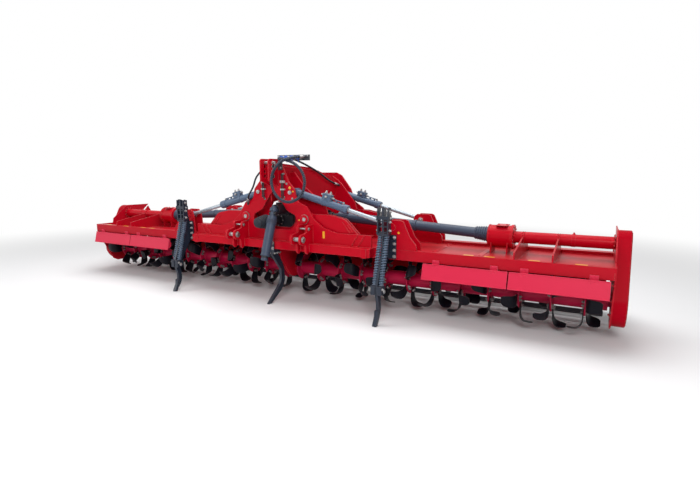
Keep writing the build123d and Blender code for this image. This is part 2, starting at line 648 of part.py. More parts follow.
def tine_springs():
    """The twin springs between the mast's shelf and the pivot head."""
    py, pz = PIVOT
    top = (HEAD_Y, BEAM_TOP + 134)
    foot = (py + 5, pz + 46)
    way = Vector(0, foot[0] - top[0], foot[1] - top[1]).normalized()
    slack = SPRING_R * abs(way.Y) / abs(way.Z) + 0.2        # keeps the square ends off the flat seats
    springs = []
    for side in (-1, 1):
        start = Vector(TINE_X + side * SPRING_X, *top) + way * slack
        stop = Vector(TINE_X + side * SPRING_X, *foot) - way * slack
        springs.append(rod(tuple(start), tuple(stop), SPRING_R))
    return springs


def tine_shank():
    """Pivot head under the springs and the curved shank with its point."""
    py, pz = PIVOT
    head = block(TINE_X - TINE_HALF, TINE_X + TINE_HALF, py - 32, py + 36, pz - 30, pz + 46)
    head -= block(TINE_X - 9.5, TINE_X + 9.5, py - 60, py + 60, pz - 30, pz + 80)
    head += bar_x(TINE_X - TINE_HALF - 8, TINE_X + TINE_HALF + 8, py, pz, PIVOT_R)
    shape = [(py - 26, pz - 30), (py + 12, pz - 170, 160), (py - 62, FLOOR + 4), (py - 62, FLOOR),
             (py - 34, FLOOR), (py + 62, pz - 180, 170), (py + 30, pz - 30)]
    return head + slab_x(shape, TINE_X - 14, TINE_X + 14)


def roller_arms():
    """Carrier plates at the wing's ends, fixed at one hole of their depth setting."""
    y, z = ROLLER_Y, ROLLER_Z
    outer = [(REAR_BEAM[0] - 15, DRIVE_Z), (REAR_BEAM[0] + 65, DRIVE_Z + 80), (REAR_BEAM[1] + 45, DRIVE_Z - 50),
             (REAR_BEAM[1] + 110, 100, 200), (y + 55, z + 20), (y + 55, z - 30), (y + 30, z - 55),
             (y - 25, z - 55), (y - 45, z - 30), (REAR_BEAM[0] + 150, -10), (REAR_BEAM[0] + 15, 250),
             (BLADE_RADIUS + 66, BEAM_TOP - 10), (BLADE_RADIUS + 40, DRIVE_Z)]
    inner = [(BLADE_RADIUS - 24, HOOD_TOP - SHEET - 16), (GATE_Y - 20, HOOD_TOP - SHEET - 16),
             (REAR_BEAM[0] - 16, BEAM_FOOT + 5), (REAR_BEAM[1] + 5, BEAM_FOOT - 6), (y + 55, z + 30),
             (y + 55, z - 30), (y + 30, z - 55), (y - 25, z - 55), (y - 45, z - 30), (GATE_Y - 5, 70),
             (BLADE_RADIUS - 24, 150)]
    arms = []
    for shape, x in ((inner, WING_BODY), (outer, CASE_IN)):
        plate = slab_x(shape, x, x + ARM_PLATE)
        arms.append(plate - bar_x(x - 1, x + ARM_PLATE + 1, y, z, AXLE_R + RUN))
    return arms


ARM_PLATE = 14.0


def tailgate():
    """Levelling board on its hinge rod, notched round the lugs and kicked back at the foot."""
    x0, x1 = 60.0, WING_END - 35
    skirt = slab_x([(GATE_Y - 3, GATE_Z), (GATE_Y + 3, GATE_Z), (GATE_Y + 13, GATE_Z - 240),
                    (GATE_Y + 27, GATE_Z - 252), (GATE_Y + 23, GATE_Z - 256), (GATE_Y + 7, GATE_Z - 242)], x0, x1)
    for x in GATE_LUGS:
        skirt -= block(x - 14, x + 14, GATE_Y - 40, GATE_Y + 40, GATE_Z - 30, GATE_Z + 30)
    return bar_x(x0, x1, GATE_Y, GATE_Z, GATE_ROD) + skirt


STUB, STUB_R = 40.0, 40.0


def ring(sides, across, x0, x1, y=0.0, z=0.0, turn=0.0):
    """Flat-sided disc of the given width across its flats, centred on (y, z)."""
    reach = across / 2 / cos(radians(180 / sides))
    corners = [radians(turn + 360 / sides * (i + 0.5)) for i in range(sides)]
    return slab_x([(y + reach * cos(a), z + reach * sin(a)) for a in corners], x0, x1)


def rotor():
    """Rotor tube with its stub shafts and the twelve-sided flanges that carry the blades."""
    x0, x1 = WING_BODY + 30, CASE_IN - 30
    start = WING_IN + 2
    pieces = [turned((start, 0, 0), (CASE_IN, 0, 0), [
        (0, HINGE_R), (x0 - start, HINGE_R), (x0 - start, TUBE_R), (x1 - start, TUBE_R),
        (x1 - start, STUB_R), (CASE_IN + STUB - start, STUB_R)])]
    for k in range(FLANGES):
        x = FIRST_FLANGE + k * FLANGE_PITCH
        pieces.append(ring(12, 2 * FLANGE_R, x - 6, x + 6))
    return fuse(pieces)


def blade(hand):
    """One hoe blade: a sabre-shaped shank on the flange face with its leg turned to the given hand."""
    r = BLADE_RADIUS
    lean = radians(13.5)
    toe = Vector(r * cos(lean), -r * sin(lean))
    heel = Vector(r - 22, -6)
    inward = Vector(toe.Y - heel.Y, heel.X - toe.X).normalized() * BLADE_PLATE
    corners = [(92, -28), (92, 28), (r - 76, 26), (heel.X, heel.Y), (toe.X, toe.Y), (r - 64, -44)]
    leg = [(point.X, point.Y) for point in (heel, toe, toe + inward, heel + inward)]
    shank = slab_x(corners, *sorted((hand * 6.0, hand * (6.0 + BLADE_PLATE))))
    return shank + slab_x(leg, *sorted((hand * 6.0, hand * BLADE_REACH)))


BLADE_REACH = 0.45 * FLANGE_PITCH


def blades():
    """Three blades to each hand on a flange, the innermost flange without its inward ones, in a helix."""
    made = {hand: blade(hand) for hand in (-1, 1)}
    pieces = []
    for k in range(FLANGES):
        x = FIRST_FLANGE + k * FLANGE_PITCH
        for hand in (-1, 1) if k else (1,):
            for i in range(3):
                turn = k * 25.0 + i * 120.0 + hand * 30.0
                pieces.append(Pos(x, 0, 0) * Rot(turn, 0, 0) * made[hand])
    return pieces


ROLLER_IN, ROLLER_OUT = 62.0, WING_END - 35.0
BAR_DEEP, BAR_HALF = 40.0, 5.0     # radial depth and half thickness


def roller_bars():
    """Flat bars set on edge round the roller."""
    bars = []
    for i in range(ROLLER_BARS):
        bar = block(ROLLER_IN, ROLLER_OUT, ROLLER_R - BAR_DEEP, ROLLER_R, -BAR_HALF, BAR_HALF)
        bars.append(Pos(0, ROLLER_Y, ROLLER_Z) * Rot(-90 + 360 / ROLLER_BARS * i, 0, 0) * bar)
    return bars


def roller_core():
    """Roller tube with its stub axles and the ten-sided discs that the bars are welded to."""
    x0, x1 = WING_BODY + 2, CASE_IN + 10
    pieces = [turned((x0, ROLLER_Y, ROLLER_Z), (x1, ROLLER_Y, ROLLER_Z), [
        (0, AXLE_R), (ROLLER_IN - x0, AXLE_R), (ROLLER_IN - x0, ROLLER_TUBE), (ROLLER_OUT - x0, ROLLER_TUBE),
        (ROLLER_OUT - x0, AXLE_R), (x1 - x0, AXLE_R)])]
    across = 2 * (ROLLER_R - BAR_DEEP)
    for i in range(ROLLER_DISCS):
        x = ROLLER_IN + 8 + (ROLLER_OUT - ROLLER_IN - 16) * i / (ROLLER_DISCS - 1)
        pieces.append(ring(ROLLER_BARS, across, x - 5, x + 5, ROLLER_Y, ROLLER_Z, -90.0))
    return fuse(pieces)


CYLINDER_LENGTH = hypot(ROD_X - BASE_X, ROD_Z - BASE_Z)


def on_cylinder(distance, y):
    way = Vector(ROD_X - BASE_X, 0, ROD_Z - BASE_Z).normalized()
    return tuple(Vector(BASE_X, y, BASE_Z) + way * distance)


def barrel(y):
    """Cylinder tube with its base eye and gland nut, bored for the ram."""
    end = BARREL_LENGTH
    body = turned(on_cylinder(20, y), on_cylinder(end, y), [
        (0, BARREL_R), (end - 20 - GLAND, BARREL_R), (end - 20 - GLAND, BARREL_R + 6), (end - 20, BARREL_R + 6)])
    way = Vector(ROD_X - BASE_X, 0, ROD_Z - BASE_Z).normalized()
    valve = Plane(origin=on_cylinder(370, y), x_dir=way, z_dir=(-way.Z, 0, way.X))
    body += valve * Pos(0, 0, BARREL_R + 20) * Box(95, 56, 60)
    body += bar_y(BASE_X, BASE_Z, y - EYE_HALF, y + EYE_HALF, CYL_PIN + 22)
    body -= bar_y(BASE_X, BASE_Z, y - EYE_HALF - 9, y + EYE_HALF + 9, CYL_PIN + RUN)
    return body - rod(on_cylinder(100, y), on_cylinder(end + 1, y), CYL_PIN + RUN)


def ram(y):
    """Cylinder rod with the eye that meets the wing's lugs."""
    body = rod(on_cylinder(BARREL_LENGTH - GLAND - 15, y), on_cylinder(CYLINDER_LENGTH, y), CYL_PIN)
    return body + bar_y(ROD_X, ROD_Z, y - EYE_HALF, y + EYE_HALF, CYL_PIN + 14)


FRAME_PARTS = {
    "centre_beam": centre_beam, "front_plate": front_plate, "second_plate": second_plate, "braces": braces,
    "rear_plates": rear_plates, "hinge_pins": hinge_pins, "base_pins": base_pins, "top_link_ears": top_link_ears,
    "lower_link_clevises": lower_link_clevises, "link_pins": link_pins, "gearbox": gearbox,
    "pto_guard": pto_guard, "centre_tine": centre_tine, "centre_clamp": centre_clamp,
    "valve_blocks": valve_blocks, "input_shaft": input_shaft,
}
WING_PARTS = {
    "deck": wing_deck, "hinge_arms": hinge_arms, "cylinder_lugs": cylinder_lugs, "side_case": side_case,
    "drive_tube": drive_tube, "drive_shaft": drive_shaft, "deflectors": deflectors, "tine_mast": tine_mast,
    "tine_springs": tine_springs, "tine_shank": tine_shank, "roller_arms": roller_arms, "tailgate": tailgate,
    "rotor": rotor, "blades": blades, "roller_core": roller_core, "roller_bars": roller_bars,
}


def solids(made):
    """The separate solids of what a sub-part's function returned."""
    pieces = made if isinstance(made, list) else [made]
    return [solid for piece in pieces for solid in piece.solids()]


def build():
    nodes = {name: solids(make()) for name, make in FRAME_PARTS.items()}
    nodes |= {name: solids(hose(name)) for name in HOSES}
    wing = {name: solids(make()) for name, make in WING_PARTS.items()}
    for plane, y in CYLINDERS.items():
        wing[f"{plane}_barrel"] = solids(barrel(y))
        wing[f"{plane}_ram"] = solids(ram(y))
    for name, pieces in wing.items():
        nodes[f"right_{name}"] = pieces
        nodes[f"left_{name}"] = [mirror(piece, about=Plane.YZ) for piece in pieces]
    return nodes


def main():
    nodes = build()
    boxes = [piece.bounding_box() for pieces in nodes.values() for piece in pieces]
    middle = (min(box.min.Y for box in boxes) + max(box.max.Y for box in boxes)) / 2
    place = Location((0, -middle, -FLOOR))
    os.makedirs("parts", exist_ok=True)
    for name, pieces in nodes.items():
        moved = [piece.moved(place) for piece in pieces]
        shape = moved[0] if len(moved) == 1 else Compound(children=moved)
        export_step(shape, f"parts/{name}.step")
    print("nodes", len(nodes), "moved by", round(-middle, 3))


if __name__ == "__main__":
    main()
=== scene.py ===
"""Looks of the folding rotavator: paint, springs, fasteners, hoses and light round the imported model."""
from math import acos, cos, hypot, pi, radians, sin

import bmesh
import bpy
from mathutils import Matrix, Vector


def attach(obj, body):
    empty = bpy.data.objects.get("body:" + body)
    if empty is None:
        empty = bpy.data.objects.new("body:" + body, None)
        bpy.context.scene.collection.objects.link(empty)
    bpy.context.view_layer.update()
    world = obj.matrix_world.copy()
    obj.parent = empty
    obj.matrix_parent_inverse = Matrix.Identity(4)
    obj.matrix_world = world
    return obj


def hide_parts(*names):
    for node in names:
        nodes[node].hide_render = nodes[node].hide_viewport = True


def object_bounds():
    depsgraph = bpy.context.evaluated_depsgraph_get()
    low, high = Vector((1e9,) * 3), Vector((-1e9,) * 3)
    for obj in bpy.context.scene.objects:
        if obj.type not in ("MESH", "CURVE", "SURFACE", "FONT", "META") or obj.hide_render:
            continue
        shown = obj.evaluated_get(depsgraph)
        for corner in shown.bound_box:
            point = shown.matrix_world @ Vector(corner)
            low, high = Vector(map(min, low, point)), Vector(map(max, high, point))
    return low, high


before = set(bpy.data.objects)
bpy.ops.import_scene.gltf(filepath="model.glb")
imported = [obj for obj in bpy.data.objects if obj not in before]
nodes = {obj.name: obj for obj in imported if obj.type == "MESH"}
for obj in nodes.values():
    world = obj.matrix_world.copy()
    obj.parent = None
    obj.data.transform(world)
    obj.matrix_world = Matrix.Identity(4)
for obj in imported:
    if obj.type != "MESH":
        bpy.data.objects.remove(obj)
cad_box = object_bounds()

# ---------------------------------------------------------------- welded frame
# Centre beam, plates, braces, top link ears and clevises: steel plate welded up and then sprayed with
# two coats of glossy red enamel.  Dust from the field settles unevenly; the cut edges are painted lighter,
# partly as edge wear and partly as a painted highlight along the edges.


def group_with(name, inputs, outputs):
    """New shader node group with named (name, type, default) inputs and (name, type) outputs."""
    tree = bpy.data.node_groups.new(name, "ShaderNodeTree")
    for label, kind, value in inputs:
        socket = tree.interface.new_socket(name=label, in_out="INPUT", socket_type=kind)
        socket.default_value = value
    for label, kind in outputs:
        tree.interface.new_socket(name=label, in_out="OUTPUT", socket_type=kind)
    return tree, tree.nodes.new("NodeGroupInput"), tree.nodes.new("NodeGroupOutput")


def node_in(tree, kind, operation=None, **given):
    """Shader node whose inputs, by name or as _0 by number, take a value or another node's output."""
    node = tree.nodes.new("ShaderNode" + kind)
    if operation:
        node.operation = operation
    for label, value in given.items():
        key = int(label[1:]) if label.startswith("_") else label.replace("_", " ")
        if isinstance(value, bpy.types.NodeSocket):
            tree.links.new(value, node.inputs[key])
        else:
            node.inputs[key].default_value = value
    return node


def product_in(tree, one, other):
    """Output that multiplies two others."""
    return node_in(tree, "Math", "MULTIPLY", _0=one, _1=other).outputs[0]


def colour_mix_in(tree, share, base, over):
    """Output that lays one colour over another by a share of it."""
    node = tree.nodes.new("ShaderNodeMix")
    node.data_type = "RGBA"
    tree.links.new(share, node.inputs["Factor"])
    tree.links.new(base, node.inputs["A"])
    if isinstance(over, tuple):
        node.inputs["B"].default_value = over
    else:
        tree.links.new(over, node.inputs["B"])
    return node.outputs["Result"]


# Colour of the lighter cut edges: partly edge wear, partly a painted highlight along the edges.
WORN_AND_HIGHLIT_EDGE = (0.62, 0.45, 0.42, 1)
FIELD_DUST = (0.17, 0.075, 0.055, 1)


def dust_film():
    """Patchy dust over a colour, thicker on faces that lie flat, with a fine grain; lighter edges are partly
    wear and partly painted highlight.
    """
    tree, given, result = group_with(
        "dust_film",
        [("Colour", "NodeSocketColor", (0.5, 0.5, 0.5, 1)), ("Dust", "NodeSocketColor", FIELD_DUST),
         ("Amount", "NodeSocketFloat", 0.2), ("Roughness", "NodeSocketFloat", 0.3),
         ("Scale", "NodeSocketFloat", 4.0), ("Rubbed", "NodeSocketFloat", 0.2)],
        [("Colour", "NodeSocketColor"), ("Roughness", "NodeSocketFloat"), ("Height", "NodeSocketFloat")])
    asked = given.outputs
    place = node_in(tree, "TexCoord").outputs["Object"]
    normal = node_in(tree, "NewGeometry").outputs["Normal"]
    broad = node_in(tree, "TexNoise", Vector=place, Scale=asked["Scale"], Detail=6.0, Roughness=0.6)
    fine = node_in(tree, "TexNoise", Vector=place, Scale=240.0, Detail=3.0)
    streak = node_in(tree, "TexNoise", Vector=place, Scale=9.0, Detail=5.0, Roughness=0.7)
    up = node_in(tree, "SeparateXYZ", _0=normal)
    lying = node_in(tree, "MapRange", Value=up.outputs["Z"], From_Min=0.1, From_Max=0.95, To_Min=0.3,
                    To_Max=1.0)
    patch = node_in(tree, "MapRange", Value=broad.outputs["Fac"], From_Min=0.34, From_Max=0.68, To_Min=0.15,
                    To_Max=1.0)
    share = product_in(tree, product_in(tree, lying.outputs[0], patch.outputs[0]), asked["Amount"])
    dusted = colour_mix_in(tree, share, asked["Colour"], asked["Dust"])
    # Edge mask from the bevel node, broken by streaks: edges painted lighter, partly wear and partly painted
    # highlight.
    rounded = node_in(tree, "Bevel", Radius=0.004)
    rounded.samples = 4
    agree = node_in(tree, "VectorMath", "DOT_PRODUCT", _0=rounded.outputs[0], _1=normal)
    edge = node_in(tree, "MapRange", Value=agree.outputs["Value"], From_Min=0.99, From_Max=0.86)
    worn_and_highlit = product_in(tree, product_in(tree, edge.outputs[0], streak.outputs["Fac"]), asked["Rubbed"])
    rough = node_in(tree, "Math", "MULTIPLY_ADD", _0=share, _1=0.55, _2=asked["Roughness"])
    tree.links.new(colour_mix_in(tree, worn_and_highlit, dusted, WORN_AND_HIGHLIT_EDGE), result.inputs["Colour"])
    tree.links.new(rough.outputs[0], result.inputs["Roughness"])
    tree.links.new(fine.outputs["Fac"], result.inputs["Height"])
    return tree


DUST_AND_EDGE_HIGHLIGHT_FILM = dust_film()


def finish_of(name, colour, roughness, metallic=0.0, clear_coat=0.0, specular=0.5, dust=0.2, grain=0.0,
              edge_wear_and_highlight=0.15, scale=4.0):
    """Material of one colour under the film of dust and lighter edges (partly painted highlight), its cut
    edges softened by the bevel node.
    """
    material = bpy.data.materials.new(name)
    material.use_nodes = True
    material.diffuse_color = (*colour, 1)
    tree = material.node_tree
    film = tree.nodes.new("ShaderNodeGroup")
    film.node_tree = DUST_AND_EDGE_HIGHLIGHT_FILM
    # The edge share lightens the cut edges: partly wear, partly painted highlight.
    given = {"Colour": (*colour, 1), "Dust": FIELD_DUST, "Amount": dust, "Roughness": roughness,
             "Scale": scale, "Rubbed": edge_wear_and_highlight}
    for label, value in given.items():
        film.inputs[label].default_value = value
    soft_edge = node_in(tree, "Bevel", Radius=0.0025)
    soft_edge.samples = 4
    bump = node_in(tree, "Bump", Strength=grain, Distance=0.0006, Height=film.outputs["Height"],
                   Normal=soft_edge.outputs[0])
    shader = tree.nodes["Principled BSDF"]
    shader.inputs["Metallic"].default_value = metallic
    shader.inputs["Specular IOR Level"].default_value = specular
    shader.inputs["Coat Weight"].default_value = clear_coat
    shader.inputs["Coat Roughness"].default_value = 0.08
    tree.links.new(film.outputs["Colour"], shader.inputs["Base Color"])
    tree.links.new(film.outputs["Roughness"], shader.inputs["Roughness"])
    tree.links.new(bump.outputs[0], shader.inputs["Normal"])
    return material


RED = finish_of("red_enamel", (0.48, 0.0005, 0.012), 0.30, specular=0.10, dust=0.05, grain=0.06, edge_wear_and_highlight=0.45)


def coat(finish, names, sides=("",)):
    """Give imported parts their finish; sides are the prefixes of parts that each wing has."""
    for side in sides:
        for name in names:
            mesh = nodes[side + name].data
            mesh.materials.clear()
            mesh.materials.append(finish)


coat(RED, ("centre_beam", "front_plate", "second_plate", "braces", "rear_plates", "top_link_ears",
           "lower_link_clevises"))

# ---------------------------------------------------------------- headstock: pins, bolts and seams
# Zinc-plated hinge pins and base pins, each held by a bolted cap in a welded collar, hexagon bolts in
# the plates, and the bead of weld that joins each plate to the beam.

FORWARD, BACK = Vector((0, -1, 0)), Vector((0, 1, 0))
RIGHT, LEFT, UP = Vector((1, 0, 0)), Vector((-1, 0, 0)), Vector((0, 0, 1))
ROTOR_AXIS_Y, ROTOR_AXIS_Z = -113.673, 310.0    # millimetres, in the frame


def at(x, y, z):
    """Point of the drawing, in millimetres about the rotor axis, in the frame's metres."""
    return Vector((x, y + ROTOR_AXIS_Y, z + ROTOR_AXIS_Z)) / 1000


def ring_of(shape, centre, out, over, radius, sides, turn=0.0):
    """Ring of points round a centre, in the plane of two unit vectors."""
    angles = [turn + 2 * pi * i / sides for i in range(sides)]
    return [shape.verts.new(centre + (out * cos(a) + over * sin(a)) * radius) for a in angles]


def skin(shape, rings, closed=True):
    """Faces between rings of points, with a cap on each end."""
    for one, two in zip(rings, rings[1:]):
        count = len(one)
        for i in range(count):
            j = (i + 1) % count
            shape.faces.new((one[i], one[j], two[j], two[i]))
    if closed:
        shape.faces.new(list(reversed(rings[0])))
        shape.faces.new(rings[-1])


def turn_on(shape, start, way, stations, sides=24, turn=0.0, closed=True):
    """Add a turned body or open sleeve on the line from start, from (distance, radius) in millimetres."""
    way = Vector(way).normalized()
    out = way.orthogonal().normalized() if abs(way.z) > 0.9 else way.cross(UP).normalized()
    over = way.cross(out)
    rings = [ring_of(shape, start + way * (distance / 1000), out, over, radius / 1000, sides, turn)
             for distance, radius in stations]
    skin(shape, rings, closed)


def bolt_on(shape, place, way, across=19.0, washer=True, stub=0.0):
    """Add a hexagon head on its washer, or a nut with a stub of thread."""
    tall, reach = across * 0.62, across / 1.732
    base = 0.0
    if washer:
        base = across * 0.13
        turn_on(shape, place, way, [(-1, across * 0.85), (base, across * 0.85)], 16)
    turn_on(shape, place, way,
            [(base - 0.5, reach), (base + tall * 0.82, reach), (base + tall, reach * 0.86)], 6)
    if stub:
        turn_on(shape, place, way, [(base, across * 0.32), (base + tall + stub - 1.5, across * 0.32),
                                    (base + tall + stub, across * 0.26)], 12)


def bolt_circle_on(shape, centre, way, radius, count, first, across, washer=True):
    """Add bolts in a circle, the first of them at an angle in degrees above the level line."""
    level = RIGHT if abs(way.y) > 0.5 else BACK
    for i in range(count):
        angle = radians(first + 360 / count * i)
        bolt_on(shape, centre + (level * cos(angle) + UP * sin(angle)) * radius, way, across, washer)


def pipe_on(shape, points, radius, bend=18.0, sides=12):
    """Add a rigid pipe bent through points given in millimetres."""
    spots = [at(*point) for point in points]
    path = [spots[0]]
    for before, corner, after in zip(spots, spots[1:], spots[2:]):
        reach = min(bend / 1000, (before - corner).length / 2, (after - corner).length / 2)
        start = corner + (before - corner).normalized() * reach
        stop = corner + (after - corner).normalized() * reach
        for i in range(7):
            t = i / 6
            path.append(start * (1 - t) ** 2 + corner * 2 * t * (1 - t) + stop * t ** 2)
    path.append(spots[-1])
    rings = []
    side = (path[1] - path[0]).orthogonal()
    for i, spot in enumerate(path):
        way = (path[min(i + 1, len(path) - 1)] - path[max(i - 1, 0)]).normalized()
        side = (side - way * side.dot(way)).normalized()
        rings.append(ring_of(shape, spot, side, way.cross(side), radius / 1000, sides))
    skin(shape, rings)


def slab_on(shape, corner, other):
    """Add a block between two opposite corners given in millimetres."""
    a, b = at(*[min(p) for p in zip(corner, other)]), at(*[max(p) for p in zip(corner, other)])
    made = bmesh.ops.create_cube(shape, size=1.0)["verts"]
    bmesh.ops.scale(shape, vec=b - a, verts=made)
    bmesh.ops.translate(shape, vec=(a + b) / 2, verts=made)
    return made


def seam_on(shape, start, stop, width=5.0, step=7.0):
    """Add a bead of weld between two points, its ripples a few millimetres apart."""
    start, stop = at(*start), at(*stop)
    run = (stop - start).length * 1000
    count = max(4, int(run / step))
    stations = [(run * i / count, width * (1.0 if i % 2 else 0.78)) for i in range(count + 1)]
    turn_on(shape, start, stop - start, stations, 6)


def finish_piece(shape, name, body, finish, stands_for=(), crease=38):
    """Turn the worked shape into a piece that rides a body."""
    bmesh.ops.recalc_face_normals(shape, faces=shape.faces)
    mesh = bpy.data.meshes.new(name)
    shape.to_mesh(mesh)
    mesh.polygons.foreach_set("use_smooth", [True] * len(mesh.polygons))
    mesh.set_sharp_from_angle(angle=radians(crease))
    mesh.materials.append(finish)
    thing = bpy.data.objects.new(name, mesh)
    bpy.context.scene.collection.objects.link(thing)
    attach(thing, body)
    if stands_for:
        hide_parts(*stands_for)
    shape.free()
    return thing


def on_both_wings(work, name, body, finish, stands_for=(), crease=38):
    """Make a piece on the right wing and its mirror image on the left."""
    for side in ("right", "left"):
        shape = bmesh.new()
        work(shape)
        if side == "left":
            bmesh.ops.scale(shape, vec=(-1, 1, 1), verts=shape.verts)
        finish_piece(shape, f"{side}_{name}", f"{side}_{body}", finish,
                     [f"{side}_{node}" for node in stands_for], crease)


PLATE_FACE = -382               # front of the front plate
HINGE_X, HINGE_Z = 370, 563     # wing hinge pins
BASE_X, BASE_Z = 200, 820       # base pins of the fold cylinders
ZINC = finish_of("zinc_plate", (0.36, 0.36, 0.36), 0.34, metallic=0.7, dust=0.12)
coat(ZINC, ("hinge_pins", "base_pins"))

pins, collars = bmesh.new(), bmesh.new()
for side in (-1, 1):
    for y, way in ((-394.0, FORWARD), (532.0, BACK)):
        spot = at(side * HINGE_X, y, HINGE_Z)
        turn_on(pins, spot, way, [(-1, 19), (6, 19), (7.5, 17), (7.5, 9), (6, 7), (6, 2)], 32)
        turn_on(collars, spot, way, [(-8, 45), (4, 45), (6, 42), (6, 23), (3, 21), (3, 2)], 48)
    for y, way in ((-392.0, FORWARD), (530.0, BACK)):
        turn_on(pins, at(side * BASE_X, y, BASE_Z), way, [(-1, 19), (2, 19), (3, 16), (3, 6), (6, 4)], 24)
finish_piece(pins, "pin_caps", "frame", ZINC)
finish_piece(collars, "pin_collars", "frame", RED)

plate_bolts = bmesh.new()
for x, z in ((226, 760), (160, 905), (-150, 905)):
    bolt_on(plate_bolts, at(x, PLATE_FACE, z), FORWARD, 13)
for side in (-1, 1):
    for z in (1108, 1073, 1025, 977):
        turn_on(plate_bolts, at(side * 57, -458, z), RIGHT * side,
                [(-1, 20), (1.5, 20), (2, 18.5), (2, 16.2), (-1, 16.2)], 24)
finish_piece(plate_bolts, "plate_bolts", "frame", ZINC)

seams = bmesh.new()
for side in (-1, 1):
    seam_on(seams, (side * 1095, -383, 337), (side * 460, -383, 337))
    seam_on(seams, (side * 350, -383, 337), (side * 8, -383, 337))
    seam_on(seams, (side * 41, -383, 1100), (side * 41, -383, 940), 4)
    seam_on(seams, (side * 58, -383, 1090), (side * 58, -383, 890), 4)
    for x in (345, 365, 445, 465):
        seam_on(seams, (side * x, -451, 262), (side * x, -451, 334), 4)
        seam_on(seams, (side * x, -383, 345), (side * x, -383, 500), 4)
    seam_on(seams, (side * 58, -361, 1080), (side * 200, 140, 1035), 4)
    for x in (260, 292):
        seam_on(seams, (side * x, -219, 400), (side * x, -219, 500), 4)
finish_piece(seams, "headstock_welds", "frame", RED)

# ---------------------------------------------------------------- blank film on the headstock
# Self-adhesive yellow film, punched round or cut to a strip and left blank; smooth, with a clear
# face that dust dulls a little.

YELLOW_FILM = finish_of("blank_yellow_film", (0.85, 0.42, 0.015), 0.3, clear_coat=0.3, dust=0.15,
                        edge_wear_and_highlight=0.0)
labels = bmesh.new()
for x, z, radius in ((196, 866, 14), (234, 830, 9), (303, 552, 8)):
    turn_on(labels, at(x, PLATE_FACE + 0.2, z), FORWARD,
            [(0, radius), (0.6, radius), (0.8, radius - 0.5)], 32)
slab_on(labels, (574, PLATE_FACE + 0.2, 392), (598, PLATE_FACE - 0.7, 458))
finish_piece(labels, "headstock_labels", "frame", YELLOW_FILM)

# ---------------------------------------------------------------- steel oil pipes on the headstock
# Cold-drawn pipe, 12 mm outside, bent to the plate and held in pale plastic clamps; each pipe ends
# in a screwed elbow.

PIPE_BLACK = finish_of("pipe_black", (0.012, 0.014, 0.020), 0.32, specular=0.4, dust=0.06, edge_wear_and_highlight=0.3)
oil_pipes, clamps, elbows = bmesh.new(), bmesh.new(), bmesh.new()
for side in (-1, 1):
    for x, low in ((112, 752), (130, 772)):
        pipe_on(oil_pipes, [(side * x, -384, 1000), (side * x, -402, 1000), (side * x, -402, low),
                            (side * x, -384, low)], 6)
        for z in (1000, low):
            turn_on(elbows, at(side * x, PLATE_FACE, z), FORWARD, [(-1, 11), (9, 11), (10, 9), (14, 9)], 6)
    slab_on(clamps, (side * 100, PLATE_FACE, 912), (side * 142, PLATE_FACE - 30, 936))
    slab_on(clamps, (side * 100, PLATE_FACE, 842), (side * 142, PLATE_FACE - 28, 858))
    for z in (924, 850):
        bolt_on(elbows, at(side * 121, PLATE_FACE - 30, z), FORWARD, 9, washer=False)
finish_piece(oil_pipes, "headstock_pipes", "frame", PIPE_BLACK)
finish_piece(elbows, "pipe_elbows", "frame", ZINC)
finish_piece(clamps, "pipe_clamps", "frame",
             finish_of("pale_clamp", (0.42, 0.43, 0.42), 0.5, specular=0.3, dust=0.15, edge_wear_and_highlight=0.0))

# ---------------------------------------------------------------- lower link clevises and drawbar pins
# Turned steel link pins between the clevis plates, with a shoulder and a spring clip at each end; a
# keeper pin in its own collars lies above each of them.

LINK_X, LINK_PIN, KEEPER_PIN = 405, (-555, 388), (-455, 480)
coat(ZINC, ("link_pins",))
link_fittings = bmesh.new()
for side in (-1, 1):
    middle = side * LINK_X
    for way in (-1, 1):
        face = middle + way * 60
        turn_on(link_fittings, at(face, *LINK_PIN), RIGHT * way,
                [(-1, 30), (4, 30), (5, 27), (5, 22), (15, 22), (16, 20), (16, 8), (13, 6)], 32)
        turn_on(link_fittings, at(face, *KEEPER_PIN), RIGHT * way,
                [(-1, 17), (3, 17), (4, 15), (4, 9), (12, 9)], 20)
        clip = at(face + way * 10, *LINK_PIN)
        turn_on(link_fittings, clip + UP * 0.030, -UP, [(0, 2.5), (60, 2.5)], 8)
    turn_on(link_fittings, at(middle - 38, *LINK_PIN), RIGHT, [(0, 20), (76, 20)], 24)
finish_piece(link_fittings, "link_pin_collars", "frame", ZINC)

# ---------------------------------------------------------------- gearbox
# Black ribbed iron casting with a bolted input flange and a breather, sprayed after assembly.  Its
# hexagon bolts are zinc plated.

BLACK_IRON = finish_of("gearbox_black", (0.010, 0.012, 0.018), 0.42, specular=0.3, dust=0.10, grain=0.8)
coat(BLACK_IRON, ("gearbox",))
INPUT_NOSE, THROUGH_NOSE = (62, 650), (-62, 525)    # across and up, of the two shafts in front
casting = bmesh.new()
for x in (-105, 105):
    for y in range(-190, 250, 55):
        slab_on(casting, (x - 4 if x < 0 else x - 1, y - 4, 462), (x + 1 if x < 0 else x + 4, y + 4, 690))
for y in (-150, -40, 70, 180):
    slab_on(casting, (-98, y - 5, 712), (98, y + 5, 722))
turn_on(casting, at(INPUT_NOSE[0], -300, INPUT_NOSE[1]), BACK,
        [(0, 60), (8, 60), (12, 66), (62, 66), (70, 72), (84, 72)], 40)
turn_on(casting, at(THROUGH_NOSE[0], -330, THROUGH_NOSE[1]), BACK,
        [(0, 46), (6, 52), (90, 52), (96, 62), (112, 62)], 36)
turn_on(casting, at(0, 20, 712), UP, [(0, 42), (10, 42), (12, 38), (16, 38)], 32)
finish_piece(casting, "gearbox_ribs", "frame", BLACK_IRON)

